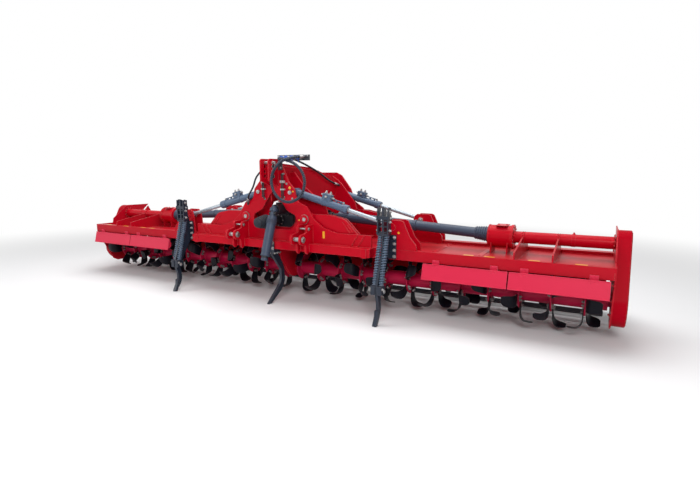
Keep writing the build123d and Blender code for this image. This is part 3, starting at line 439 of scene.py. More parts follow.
gearbox_bolts = bmesh.new()
bolt_circle_on(gearbox_bolts, at(INPUT_NOSE[0], -231, INPUT_NOSE[1]), FORWARD, 0.062, 8, 0, 12)
bolt_circle_on(gearbox_bolts, at(THROUGH_NOSE[0], -235, THROUGH_NOSE[1]), FORWARD, 0.054, 8, 0, 10)
for x in (-84, 84):
    for y in (-200, -110, -20, 70, 160, 240):
        bolt_on(gearbox_bolts, at(x, y, 713), UP, 13)
turn_on(gearbox_bolts, at(0, 20, 727), UP, [(0, 9), (10, 9), (10, 13), (22, 13), (24, 10)], 6)
finish_piece(gearbox_bolts, "gearbox_bolts", "frame", ZINC)

# ---------------------------------------------------------------- boot on the through shaft
# Moulded rubber bellows, clipped over the gearbox nose and closed by a cap while nothing is coupled
# to the shaft.

BOOT_RUBBER = finish_of("boot_rubber", (0.013, 0.018, 0.027), 0.5, specular=0.25, dust=0.08, grain=0.4)
coat(BOOT_RUBBER, ("pto_guard",))
boot = bmesh.new()
stations = [(0, 68), (8, 72), (14, 70), (18, 58)]
for fold in range(5):
    crest, height = 24 + 20 * fold, 71 - 3.4 * fold
    stations += [(crest - 4, height - 9), (crest, height - 1), (crest + 5, height), (crest + 10, height - 2),
                 (crest + 14, height - 9)]
stations += [(126, 46), (132, 44), (134, 50), (144, 50), (146, 40), (158, 34), (160, 26)]
turn_on(boot, at(THROUGH_NOSE[0], -430, THROUGH_NOSE[1]), FORWARD, stations, 40)
finish_piece(boot, "through_shaft_boot", "frame", BOOT_RUBBER, ["pto_guard"], 60)

# ---------------------------------------------------------------- input shaft
# The shaft to the tractor hangs from the gearbox nose in a blue-grey plastic guard with a ribbed
# bell; its black forged yokes show at both ends.

GUARD = finish_of("guard_plastic", (0.036, 0.056, 0.095), 0.42, specular=0.3, dust=0.08, grain=0.2)
coat(GUARD, ("input_shaft",))
HANG = radians(19)      # the shaft's lean from plumb
guard_start = at(INPUT_NOSE[0], -470, INPUT_NOSE[1])
guard_way = Vector((0, -sin(HANG), -cos(HANG)))
guard = bmesh.new()
stations = [(96, 30), (98, 44)]
for rib in range(4):
    stations += [(100 + 12 * rib, 51), (104 + 12 * rib, 52), (106 + 12 * rib, 47), (110 + 12 * rib, 47)]
stations += [(152, 46), (160, 45), (300, 44), (302, 46.5), (308, 46.5), (310, 44), (446, 43), (450, 47),
             (462, 47), (464, 42), (466, 34)]
turn_on(guard, guard_start, guard_way, stations, 40)
finish_piece(guard, "drive_guard", "input_drive", GUARD)

yoke = bmesh.new()
turn_on(yoke, guard_start, guard_way, [(440, 33), (466, 33), (468, 35), (486, 35.5), (490, 32), (496, 32),
                                       (498, 34), (508, 34)], 32)
for side in (-1, 1):
    turn_on(yoke, guard_start + guard_way * 0.493 + RIGHT * side * 0.028, RIGHT * side,
            [(0, 7), (9, 7), (10, 5)], 12)
turn_on(yoke, guard_start + RIGHT * -0.03, RIGHT, [(0, 17), (60, 17)], 20)
turn_on(yoke, guard_start + guard_way * 0.036 + RIGHT * -0.04, RIGHT,
        [(0, 14), (6, 19), (74, 19), (80, 14)], 20)
finish_piece(yoke, "drive_yokes", "input_drive", BLACK_IRON)

# ---------------------------------------------------------------- wings: hood, beams and hinge arms
# Each wing is a frame of box beams with a folded steel hood welded between them, in red enamel under
# a film of dust.  Ribs, lugs and hinge arms are joined by fillet welds; bolts hold the strips and ends.

HOOD_RED = finish_of("hood_red", (0.46, 0.001, 0.014), 0.30, specular=0.10, dust=0.30, grain=0.08, scale=2.2)
WINGS = ("right_", "left_")
coat(HOOD_RED, ("deck",), WINGS)
coat(RED, ("hinge_arms", "cylinder_lugs"), WINGS)
ROD_X, ROD_Z = 1280, 535        # rod pins of the fold cylinders
HOOD_FROM, HOOD_TO, HOOD_TOP = 30, 3015, 306
BEAM_TOP = 336
STRIP_PLACES = (1060, 1600, 2010)    # stiffening strips across the hood
END_BOLTS = ((-336.66, 300), (-306.9, 200), (-232.5, 60), (-176.7, -60), (139.5, -140), (232.5, -30),
             (306.9, 110), (437.1, 290))    # along and up, in the wing's end plate


def wing_welds(shape):
    for y in (-289, 404):
        seam_on(shape, (HOOD_FROM, y, HOOD_TOP + 1), (HOOD_TO, y, HOOD_TOP + 1), 4, 9)
    for x in (2323, 2603):
        for off in (-8, 8):
            seam_on(shape, (x + off, -345, BEAM_TOP + 1), (x + off, -292, BEAM_TOP + 1), 3.5)
            seam_on(shape, (x + off, -289, HOOD_TOP + 1), (x + off, 70, HOOD_TOP + 1), 3.5)
    for y in (-351, -331, -309, -289, 404, 426, 474, 496):
        seam_on(shape, (270, y, BEAM_TOP + 1), (955, y, BEAM_TOP + 1), 4, 8)
    seam_on(shape, (3018, -350, 300), (3018, -350, 250), 4)
    for y in (-229, -214):
        seam_on(shape, (1180, y, HOOD_TOP + 1), (1510, y, HOOD_TOP + 1), 4)
    seam_on(shape, (1180, -331, BEAM_TOP + 1), (1510, -331, BEAM_TOP + 1), 4)


def wing_ribs(shape):
    """Slanted stiffeners on the hinge arm and the folded edge strips of the hood."""
    for top, foot in (((775, 556), (857, 455)), ((830, 530), (887, 460))):
        start, stop = at(top[0], -351, top[1]), at(foot[0], -351, foot[1])
        turn_on(shape, start, stop - start, [(0, 5), ((stop - start).length * 1000, 5)], 8)
    turn_on(shape, at(HINGE_X, -356, HINGE_Z), BACK, [(0, 62), (3, 66), (8, 66)], 48)
    for x in STRIP_PLACES:
        slab_on(shape, (x - 22, -286, HOOD_TOP), (x + 22, 398, HOOD_TOP + 3))
    for front, back in ((-288, -270), (385, 402)):
        slab_on(shape, (HOOD_FROM, front, HOOD_TOP), (HOOD_TO, back, HOOD_TOP + 5))


def wing_bolts(shape):
    for x in STRIP_PLACES:
        for y in (-250, -150, 290, 370):
            bolt_on(shape, at(x, y, HOOD_TOP + 3), UP, 11)
    for y, z in END_BOLTS:
        bolt_on(shape, at(3019, y, z), LEFT, 13)
    for y in (-330, 450):
        turn_on(shape, at(HINGE_X, y, 629), UP, [(-2, 5), (6, 5), (7, 3), (11, 3)], 10)


on_both_wings(wing_welds, "wing_welds", "wing", RED)
on_both_wings(wing_ribs, "wing_ribs", "wing", RED)
on_both_wings(wing_bolts, "wing_bolts", "wing", RED)


def rod_pin_caps(shape):
    """Keeper plate, bolts and grease point on the ends of each rod pin."""
    for y, way in ((-341, FORWARD), (-204, BACK), (379, FORWARD), (521, BACK)):
        spot = at(ROD_X, y, ROD_Z)
        turn_on(shape, spot, way, [(-1, 26), (4, 26), (5, 24), (5, 8), (9, 6)], 28)
        bolt_circle_on(shape, spot + way * 0.005, way, 0.018, 2, 50, 7, washer=False)


on_both_wings(rod_pin_caps, "rod_pin_caps", "wing", ZINC)


def wing_labels(shape):
    for x in (1960, 2130, 2470, 2800):
        slab_on(shape, (x - 42, -330, BEAM_TOP - 0.2), (x + 42, -300, BEAM_TOP + 0.8))
    turn_on(shape, at(1343, -345, 487), FORWARD, [(0, 11), (0.8, 11)], 28)


on_both_wings(wing_labels, "wing_labels", "wing", YELLOW_FILM)

# ---------------------------------------------------------------- fold cylinders
# Honed tube with a welded base and a screwed gland, painted blue-grey; the rod is hard chrome.
# A lock valve sits on each barrel and a steel pipe carries the oil to the gland end.

BLUE_GREY = finish_of("blue_grey_enamel", (0.075, 0.118, 0.190), 0.34, specular=0.3, dust=0.08, grain=0.1,
                      edge_wear_and_highlight=0.3)
CHROME = finish_of("chrome", (0.36, 0.41, 0.46), 0.26, metallic=0.35, dust=0.03, edge_wear_and_highlight=0.0)
coat(BLUE_GREY, ("front_barrel", "rear_barrel"), WINGS)
coat(CHROME, ("front_ram", "rear_ram"), WINGS)
ROD_WAY = Vector((0.9670, 0, -0.2549))      # from the base pin to the rod pin
ROD_UP = Vector((0.2549, 0, 0.9670))
BARREL_END, ROD_EYE = 556, 1117             # along the cylinder, from its base pin


def along(distance, y, rise=0.0, out=0.0):
    """Point on a cylinder: distance from its base pin, rise off its axis, out toward the rear."""
    return at(BASE_X, y + out, BASE_Z) + (ROD_WAY * distance + ROD_UP * rise) / 1000


def barrel_parts(y):
    """Gland, base ring, pipe and its clamps on the barrel in the plane y."""
    def work(shape):
        turn_on(shape, along(BARREL_END, y), ROD_WAY,
                [(-2, 35), (0, 42), (14, 43), (16, 40), (22, 40), (24, 43), (58, 43), (62, 40), (64, 30),
                 (66, 26), (66, 21.5), (60, 21.5)], 40, closed=False)
        turn_on(shape, along(60, y), ROD_WAY, [(0, 35), (3, 41), (22, 41), (25, 35)], 36, closed=False)
        turn_on(shape, along(330, y), ROD_WAY, [(0, 35), (0, 40), (16, 40), (16, 35)], 36, closed=False)
        turn_on(shape, along(430, y, 52), ROD_WAY, [(-20, 5.5), (128, 5.5)], 12)
        turn_on(shape, along(558, y, 52), -ROD_UP, [(-5.5, 6), (10, 6)], 12)
        for distance in (468, 520):
            turn_on(shape, along(distance, y, 44), ROD_WAY, [(0, 9), (14, 9)], 14)
    return work


def valve_parts(y):
    """Plugs, cartridges and bolts of the lock valve, and the gland's port and wiper ring."""
    def work(shape):
        for distance in (345, 395):
            turn_on(shape, along(distance, y, 84), ROD_UP,
                    [(0, 15), (10, 15), (11, 12), (20, 12), (22, 8), (30, 8)], 6)
        turn_on(shape, along(370, y, 60, -28), FORWARD, [(-1, 13), (8, 13), (9, 10), (20, 10), (22, 6)], 6)
        turn_on(shape, along(420, y, 58), ROD_WAY, [(-3, 12), (12, 12), (13, 9), (26, 9)], 6)
        turn_on(shape, along(320, y, 66), -ROD_WAY, [(-3, 12), (10, 12), (11, 9), (24, 9), (26, 6)], 6)
        for distance in (350, 390):
            bolt_on(shape, along(distance, y, 86, 16), ROD_UP, 8)
        turn_on(shape, along(BARREL_END, y, 47), ROD_UP, [(-4, 11), (4, 11), (5, 8), (12, 8)], 6)
        turn_on(shape, along(BARREL_END + 68, y), ROD_WAY,
                [(-3, 27), (0, 27), (3, 23), (4, 21.5), (0, 21.5)], 32, closed=False)
    return work


def rod_parts(y):
    """Weld shoulder, side faces and grease point of the rod's eye."""
    def work(shape):
        turn_on(shape, along(ROD_EYE - 43, y), ROD_WAY, [(0, 20), (2, 26), (16, 28), (18, 24)], 32)
        for way in (FORWARD, BACK):
            turn_on(shape, along(ROD_EYE, y) + way * 0.041, way, [(-1, 30), (2, 30), (3, 27)], 32)
        turn_on(shape, along(ROD_EYE, y, 30), ROD_UP, [(-1, 5), (6, 5), (7, 3), (10, 3)], 10)
    return work


for plane, y in (("front", -280), ("rear", 450)):
    on_both_wings(barrel_parts(y), plane + "_gland", plane + "_tube", BLUE_GREY)
    on_both_wings(valve_parts(y), plane + "_lock_valve", plane + "_tube", ZINC)
    on_both_wings(rod_parts(y), plane + "_rod_eye", plane + "_rod", BLUE_GREY)

# ---------------------------------------------------------------- drive to the wing
# A telescopic shaft in a blue-grey plastic guard runs from the joint on the hinge line into an open
# steel bell; rubber bellows close the gap.

DRIVE_Y, DRIVE_Z = 140, 455     # axis of the drive tube along the wing
JOINT = at(HINGE_X, 130, HINGE_Z)
SHAFT_WAY = (at(2220, DRIVE_Y, DRIVE_Z) - JOINT).normalized()
SHAFT_START = JOINT - SHAFT_WAY * 0.042
SHAFT_END = 1895.0
coat(GUARD, ("drive_shaft",), WINGS)


def shaft_guard(shape):
    stations = [(132, 30), (134, 46), (140, 54), (190, 54)]
    for rib in range(5):
        stations += [(194 + 14 * rib, 54), (197 + 14 * rib, 57), (203 + 14 * rib, 57), (206 + 14 * rib, 51)]
    stations += [(270, 50), (720, 50), (722, 53), (730, 53), (732, 50), (980, 50), (984, 55), (1004, 55),
                 (1008, 47), (SHAFT_END - 322, 47), (SHAFT_END - 320, 54)]
    for fold in range(8):
        foot = SHAFT_END - 316 + 20 * fold
        tall = 58 + 2.3 * fold
        stations += [(foot, tall - 6), (foot + 5, tall), (foot + 10, tall + 1), (foot + 15, tall - 5)]
    stations += [(SHAFT_END - 154, 74), (SHAFT_END - 150, 72), (SHAFT_END - 148, 32), (SHAFT_END, 30)]
    turn_on(shape, SHAFT_START, SHAFT_WAY, stations, 48)


def shaft_joint(shape):
    stations = [(2, 22), (5, 26), (18, 26), (22, 37), (42, 38), (62, 37), (66, 26), (132, 26), (134, 30)]
    turn_on(shape, SHAFT_START, SHAFT_WAY, stations, 28)
    for way in (FORWARD, BACK):
        turn_on(shape, JOINT, way, [(0, 16), (38, 16), (40, 13)], 18)
    for way in (UP, -UP):
        turn_on(shape, SHAFT_START + SHAFT_WAY * 0.1, way, [(0, 11), (27, 11), (29, 9)], 18)


on_both_wings(shaft_guard, "shaft_guard", "wing", GUARD, ["drive_shaft"], 50)
on_both_wings(shaft_joint, "shaft_joint", "wing", BLACK_IRON)

# ---------------------------------------------------------------- bell and drive tube
# Rolled steel bell with hoops at its mouth and foot, flanged and bolted to the thick-walled tube
# that carries the drive to the side case; seams show where the tube passes the hood's ribs.

coat(RED, ("drive_tube",), WINGS)


def bell_parts(shape):
    for x in (2028, 2222):
        turn_on(shape, at(x, DRIVE_Y, DRIVE_Z), RIGHT, [(-3, 97), (-2, 102), (8, 102), (9, 97)], 56)
    turn_on(shape, at(2232, DRIVE_Y, DRIVE_Z), RIGHT, [(0, 105), (0, 108), (10, 108), (10, 60), (18, 53)], 56)
    slab_on(shape, (2090, 60, 552), (2190, 220, 558))
    for x in (2316, 2330, 2596, 2610, 3010):
        turn_on(shape, at(x, DRIVE_Y, DRIVE_Z), RIGHT, [(-3, 50), (0, 56), (3, 50)], 40)
    turn_on(shape, at(2700, DRIVE_Y, DRIVE_Z), RIGHT, [(0, 50), (0, 54), (30, 54), (30, 50)], 40)


def bell_bolts(shape):
    bolt_circle_on(shape, at(2242, DRIVE_Y, DRIVE_Z), RIGHT, 0.088, 12, 15, 11)
    bolt_circle_on(shape, at(3012, DRIVE_Y, DRIVE_Z), LEFT, 0.064, 12, 15, 10)
    for x in (2105, 2175):
        bolt_on(shape, at(x, DRIVE_Y, 558), UP, 11)
    turn_on(shape, at(2715, DRIVE_Y, 509), UP, [(-2, 9), (8, 9), (9, 6), (14, 6)], 6)


on_both_wings(bell_parts, "bell_rims", "wing", RED, crease=30)
on_both_wings(bell_bolts, "bell_bolts", "wing", RED)

# ---------------------------------------------------------------- side case
# Welded case for the train of gears at the wing's end, in plain red enamel painted darker than the frame's
# as painted shade on the case's side face, under a pressed cover with a rim of bolts, its level plug,
# drain and filler, and a cap over each bearing.

# Darker copy of the frame's red: painted shade on the case's side face.
CASE_RED_PAINTED_SHADE = finish_of("case_red_painted_shade", (0.40, 0.0003, 0.010), 0.36, specular=0.03, dust=0.02, grain=0.06,
                     edge_wear_and_highlight=0.3)
coat(CASE_RED_PAINTED_SHADE, ("side_case",), WINGS)
CASE_LOW, CASE_HEAD, CASE_LEAN = 185, 108, 0.299     # end radii, and the case's lean in radians
RIM_INSET = 11
LOW_BOLTS, HEAD_BOLTS = 11, 5


def arc_of(centre, radius, first, last, count):
    """Points on an arc in the plane of the case, between two angles in radians."""
    angles = [first + (last - first) * i / (count - 1) for i in range(count)]
    return [(centre[0] + radius * cos(a), centre[1] + radius * sin(a)) for a in angles]


def case_bolts(shape):
    low_radius, head_radius = CASE_LOW - RIM_INSET, CASE_HEAD - RIM_INSET
    lean = acos((low_radius - head_radius) / hypot(DRIVE_Y, DRIVE_Z))
    line = pi / 2 - CASE_LEAN
    low = arc_of((0, 0), low_radius, line + lean, line + 2 * pi - lean, LOW_BOLTS)
    head = arc_of((DRIVE_Y, DRIVE_Z), head_radius, line - lean, line + lean, HEAD_BOLTS)
    spots = low + head
    for ends in ((low[0], head[-1]), (head[0], low[-1])):
        for i in range(1, 6):
            spots.append(tuple(a + (b - a) * i / 6 for a, b in zip(*ends)))
    for y, z in spots:
        bolt_on(shape, at(3121, y, z), RIGHT, 11)
    for y, z, wide in ((-60, 70, 13), (40, -120, 13), (178, 500, 15)):
        turn_on(shape, at(3128.5, y, z), RIGHT, [(-2, wide), (1.4, wide)], 6)


def case_covers(shape):
    turn_on(shape, at(3128, 0, 0), RIGHT, [(0, 93), (1, 93), (1.9, 91)], 56)
    turn_on(shape, at(3128, DRIVE_Y, DRIVE_Z), RIGHT, [(0, 59), (1, 59), (1.9, 57)], 48)


on_both_wings(case_bolts, "case_bolts", "wing", CASE_RED_PAINTED_SHADE)
on_both_wings(case_covers, "case_covers", "wing", CASE_RED_PAINTED_SHADE)

# ---------------------------------------------------------------- front deflectors
# Folded sheet panels in red, hung from short brackets by carriage bolts; the foot is
# turned back into a hem.  Their red is painted lighter and pinker than the frame's: a painted sheen
# standing in for the sky's reflection on the glossy panels.

# Red lightened and made pinker as a painted sheen of reflected sky.
DEFLECTOR_RED_WITH_PAINTED_SHEEN = finish_of("deflector_red_painted_sheen", (0.62, 0.020, 0.062), 0.40, specular=0.15, dust=0.05, grain=0.1,
                          edge_wear_and_highlight=0.4)
coat(DEFLECTOR_RED_WITH_PAINTED_SHEEN, ("deflectors",), WINGS)


def deflector_parts(shape):
    for x0, x1 in ((1585, 2287.5), (2297.5, 3000)):
        turn_on(shape, at(x0, -411, 110), RIGHT, [(0, 5), (x1 - x0, 5)], 10)
        turn_on(shape, at(x0 + 6, -379, 238), RIGHT, [(0, 4), (x1 - x0 - 6, 4)], 10)


def deflector_bolts(shape):
    for x in (1695, 2177.5, 2407.5, 2890):
        for off in (-17, 17):
            turn_on(shape, at(x + off, -358, 262), FORWARD, [(-1, 9), (1, 9), (3, 7), (4, 3)], 16)
            turn_on(shape, at(x + off, -383, 222), Vector((0, -1, 0.24)), [(-1, 8), (1, 8), (3, 5)], 16)


on_both_wings(deflector_parts, "deflector_hems", "wing", DEFLECTOR_RED_WITH_PAINTED_SHEEN)
on_both_wings(deflector_bolts, "deflector_bolts", "wing", DEFLECTOR_RED_WITH_PAINTED_SHEEN)

# ---------------------------------------------------------------- rotors
# Rotor tube with burnt-off round flanges welded on, painted dark red.  Each flange carries three
# blades to each hand, every blade held by two bolts with their nuts on the flange's far face.

ROTOR_RED = finish_of("rotor_red", (0.42, 0.003, 0.044), 0.38, specular=0.15, dust=0.12, grain=0.2)
coat(ROTOR_RED, ("rotor",), WINGS)
FIRST_FLANGE, FLANGE_PITCH, FLANGES = 95.0, 250.0, 12
FLANGE_PLACES = [FIRST_FLANGE + FLANGE_PITCH * k for k in range(FLANGES)]
BLADES_A_HAND, HELIX_STEP, HAND_STEP = 3, 25.0, 30.0    # and the turns in degrees


def blade_places():
    """Flange place, hand and turn of every blade, in the helix of the rotor."""
    for k, x in enumerate(FLANGE_PLACES):
        for hand in (-1, 1) if k else (1,):
            for i in range(BLADES_A_HAND):
                yield x, hand, radians(HELIX_STEP * k + 360.0 / BLADES_A_HAND * i + HAND_STEP * hand)


def spun(x, r, t, turn):
    """Point at depth x, radius r and offset t across it, turned about the rotor axis."""
    return at(x, r * cos(turn) - t * sin(turn), r * sin(turn) + t * cos(turn))


def rotor_body(shape):
    turn_on(shape, at(8, 0, 0), RIGHT,
            [(0, 29), (2, 30), (40, 30), (40, 68), (42, 70), (2990, 70), (2992, 68), (2992, 40),
             (3062, 40)], 48)
    for x in FLANGE_PLACES:
        turn_on(shape, at(x, 0, 0), RIGHT, [(-6, 133.5), (-4.5, 135), (4.5, 135), (6, 133.5)], 64)
        turn_on(shape, at(x, 0, 0), RIGHT, [(-15, 70), (-11, 75), (-6, 80), (6, 80), (11, 75), (15, 70)], 48)


def rotor_bolts(shape):
    for x, hand, turn in blade_places():
        for t in (-15, 15):
            bolt_on(shape, spun(x + hand * 15, 112, t, turn), RIGHT * hand, 22, washer=False)
            bolt_on(shape, spun(x - hand * 6, 112, t, turn), LEFT * hand, 20, stub=7)


on_both_wings(rotor_body, "rotor_tube", "rotor_body", ROTOR_RED, ["rotor"], 30)
on_both_wings(rotor_bolts, "blade_bolts", "rotor_body",
              finish_of("blade_bolts", (0.20, 0.19, 0.19), 0.35, metallic=0.7, dust=0.25, edge_wear_and_highlight=0.6))

# ---------------------------------------------------------------- blades
# Boron steel hoe blades, forged and oil quenched black: a sabre shank bent round into a leg, with
# the leading edge hammered to a bevel.  The soil burnishes the edges; their lighter colour is partly that
# wear and partly a painted highlight.

BLADE_STEEL = finish_of("forged_blade", (0.004, 0.004, 0.008), 0.42, specular=0.12, dust=0.02, grain=0.5,
                        edge_wear_and_highlight=0.35, scale=9.0)
coat(BLADE_STEEL, ("blades",), WINGS)
BLADE_ROWS = (  # leading edge (r, t), trailing edge (r, t), distance from the flange's middle
    ((88, -28), (88, 28), 10.5), ((92, -31), (92, 31), 10.5), ((125, -42), (125, 38), 10.5),
    ((155, -53), (155, 42), 10.8), ((185, -62), (182, 43), 13.0), ((206, -69), (203, 41), 18.0),
    ((223, -74), (219, 38), 26.0), ((235, -77), (230, 35), 36.5), ((243, -79), (237, 32), 49.0),
    ((247, -79), (241, 28), 66.0), ((248, -78), (243, 24), 86.0), ((247, -74), (243, 16), 104.0),
    ((245, -60), (243, -4), 120.0))
ACROSS = ((0.0, 0.8), (0.10, 2.4), (0.30, 4.5), (0.60, 4.5), (0.93, 4.5), (1.0, 2.8))   # share, half thick


def sabre_blade(shape, x, hand, turn):
    """One forged blade: rows of points along it, thickened along the surface's own normal."""
    middle = [[spun(x + hand * depth, lead[0] + (trail[0] - lead[0]) * share,
                    lead[1] + (trail[1] - lead[1]) * share, turn) for share, _ in ACROSS]
              for lead, trail, depth in BLADE_ROWS]
    rings = []
    last = len(middle) - 1
    for i, row in enumerate(middle):
        near, far = [], []
        for j, point in enumerate(row):
            ahead = middle[min(i + 1, last)][j] - middle[max(i - 1, 0)][j]
            over = row[min(j + 1, len(row) - 1)] - row[max(j - 1, 0)]
            out = ahead.cross(over).normalized() * (ACROSS[j][1] / 1000)
            near.append(shape.verts.new(point + out))
            far.append(shape.verts.new(point - out))
        rings.append(near + far[::-1])
    skin(shape, rings)


def blade_set(shape):
    for x, hand, turn in blade_places():
        sabre_blade(shape, x, hand, turn)


on_both_wings(blade_set, "sabre_blades", "rotor_body", BLADE_STEEL, ["blades"], 32)

# ---------------------------------------------------------------- spring tines
# Track looseners: a bolted fabricated mast carries two coil springs over a hinged shank.  The
# springs are wound from round wire with closed ends and painted blue-grey; the mast and shank are
# near-black, which on the mast's fin between the springs is partly painted shade of the gap.

SPRING_FINISH = finish_of("spring_enamel", (0.075, 0.115, 0.175), 0.34, specular=0.4, dust=0.08,
                          edge_wear_and_highlight=0.4, grain=0.1)
# Near-black for mast, shank and tine parts: their own dark paint, and on the fin between the springs partly
# painted shade.
TINE_BLACK_WITH_FIN_SHADE = finish_of("tine_black_with_fin_shade", (0.012, 0.020, 0.036), 0.34, specular=0.35, dust=0.08, grain=0.15)
coat(SPRING_FINISH, ("tine_springs",), WINGS)
coat(TINE_BLACK_WITH_FIN_SHADE, ("tine_mast", "tine_shank"), WINGS)
TINE_X = 1250
SPRING_TOP, SPRING_FOOT = (-455.0, 468.0), (-565.0, 48.0)
SPRING_OFF, SPRING_TURNS = 31, 19
SPRING_MEAN, SPRING_WIRE = 0.0163, 0.0078   # radii of the coil and of its wire, in metres


def coil_spring(shape, x):
    """Wire wound round the line from shelf to pivot head, its last turns lying closed."""
    top, foot = at(x, *SPRING_TOP), at(x, *SPRING_FOOT)
    way = (foot - top).normalized()
    over = way.cross(RIGHT).normalized()
    length, steps = (foot - top).length, 20
    rings = []
    for i in range(SPRING_TURNS * steps + 1):
        share = i / (SPRING_TURNS * steps)
        eased = share - 0.008 * sin(2 * pi * share)
        angle = 2 * pi * i / steps
        out = RIGHT * cos(angle) + over * sin(angle)
        spot = top + way * (SPRING_WIRE + (length - 2 * SPRING_WIRE) * eased) + out * SPRING_MEAN
        rings.append(ring_of(shape, spot, out, way, SPRING_WIRE, 8))
    skin(shape, rings)


def springs(shape):
    for x in (TINE_X - SPRING_OFF, TINE_X + SPRING_OFF):
        coil_spring(shape, x)
        top, foot = at(x, *SPRING_TOP), at(x, *SPRING_FOOT)
        turn_on(shape, top, foot - top, [(0, 8), ((foot - top).length * 1000, 8)], 14)
        for end, way in ((top, foot - top), (foot, top - foot)):
            turn_on(shape, end, way, [(-3, 23), (3, 23), (4, 14), (16, 12)], 24)


def mast_parts(shape):
    for side in (-1, 1):
        x = TINE_X + side * 57
        slab_on(shape, (x - 3, -487, 486), (x + 3, -423, 500))
        slab_on(shape, (x - 3, -487, 604), (x + 3, -423, 646))
        turn_on(shape, at(TINE_X + side * 48, -455, 712), UP, [(-6, 6), (0, 9), (3, 9), (4, 6)], 12)
    for z in (500, 548, 596):
        slab_on(shape, (1214, -479, z - 4), (1286, -431, z + 4))
    for z in (300, 402):
        slab_on(shape, (1192, -369, z), (1331, -364, z + 16))
    for z in (60, 150, 240, 330):
        turn_on(shape, at(1238, -400 - 0.30 * (400 - z), z), RIGHT, [(0, 11), (24, 11)], 14)


def mast_bolts(shape):
    for x in (1212, 1312):
        for z in (275, 330, 390, 445):
            bolt_on(shape, at(x, -365, z), FORWARD, 20, stub=8)
    for side in (-1, 1):
        for z in (514, 590, 625, 680):
            bolt_on(shape, at(TINE_X + side * 54, -455, z), RIGHT * side, 18, stub=5)
        turn_on(shape, at(TINE_X + side * 62, -570, 0), RIGHT * side,
                [(-2, 18), (2, 18), (3, 14), (10, 14), (12, 10)], 6)
        bolt_on(shape, at(TINE_X + side * 54, -590, 20), RIGHT * side, 15)
        turn_on(shape, at(TINE_X + side * SPRING_OFF, -455, 640), UP,
                [(-4, 15), (10, 15), (11, 9), (40, 9), (42, 6)], 6)


def shank_parts(shape):
    """Tine head cheeks and the reversible point on the shank's foot."""
    for side in (-1, 1):
        slab_on(shape, (TINE_X + side * 10, -606, -34), (TINE_X + side * 50, -598, 44))
    foot = [(-633, -306), (-604, -306), (-560, -236), (-566, -176), (-588, -180), (-596, -232)]
    rings = []
    for x, swell in ((1230, 0), (1234, 3), (1266, 3), (1270, 0)):
        rings.append([shape.verts.new(at(x, y - swell * (i in (0, 4, 5)), z))
                      for i, (y, z) in enumerate(foot)])
    skin(shape, rings)
    for y, z in ((-572, -200), (-579, -232)):
        for x, way in ((1234, LEFT), (1266, RIGHT)):
            turn_on(shape, at(x, y, z), way, [(0, 8), (6, 8), (8, 5)], 6)


on_both_wings(springs, "coil_springs", "wing", SPRING_FINISH, ["tine_springs"], 50)
on_both_wings(mast_parts, "mast_plates", "wing", TINE_BLACK_WITH_FIN_SHADE)
on_both_wings(mast_bolts, "mast_bolts", "wing", ZINC)
on_both_wings(shank_parts, "tine_point", "wing", TINE_BLACK_WITH_FIN_SHADE, crease=30)

# ---------------------------------------------------------------- centre tine
# Plain black shank under the centre beam, held in a clamp by four nuts on its studs, with a cross
# bolt through the shank.

coat(TINE_BLACK_WITH_FIN_SHADE, ("centre_tine", "centre_clamp"))
centre_parts = bmesh.new()
for side in (-1, 1):
    for z in (262, 318):
        bolt_on(centre_parts, at(side * 32, -462, z), FORWARD, 19, stub=6)
    for y in (-430, -390):
        bolt_on(centre_parts, at(side * 30, y, 216), -UP, 19, stub=6)
    bolt_on(centre_parts, at(side * 14, -330, 205), RIGHT * side, 19)
finish_piece(centre_parts, "centre_tine_bolts", "frame", ZINC)

# ---------------------------------------------------------------- hoses
# Steel-braided rubber hoses with crimped ferrules, screwed to fittings on the coupler rail and the
# plates; a plastic spiral keeps the loop from chafing.

HOSE_RUBBER = finish_of("hose_rubber", (0.009, 0.012, 0.020), 0.42, specular=0.3, dust=0.06, grain=0.3)
SPIRAL_PLASTIC = finish_of("spiral_plastic", (0.030, 0.045, 0.075), 0.45, specular=0.3, dust=0.06)
SPIRAL_STRIP = ((-0.001, -0.005), (0.0036, -0.004), (0.0036, 0.004), (-0.001, 0.005))   # rise, step
HOSE_RUNS = {   # name: diameter in metres, length in metres, points of the drawing in millimetres
    "hose_loop": (0.022, 1.596, [
        (107, -430, 1150), (190, -540, 1150), (395, -534, 1098), (494, -534, 957), (449, -538, 792),
        (294, -542, 719), (138, -548, 792), (94, -556, 957), (186, -566, 1094), (325, -572, 1150),
        (393, -430, 1163)]),
    "hose_left": (0.018, 0.412, [
        (-107, -405, 1047), (-161, -450, 991), (-205, -455, 860), (-280, -452, 780), (-318, -406, 725)]),
    "hose_right": (0.020, 0.770, [
        (140, -345, 1160), (142, -235, 1152), (190, -60, 1090), (240, 120, 1005), (285, 250, 915),
        (305, 345, 890)]),
}


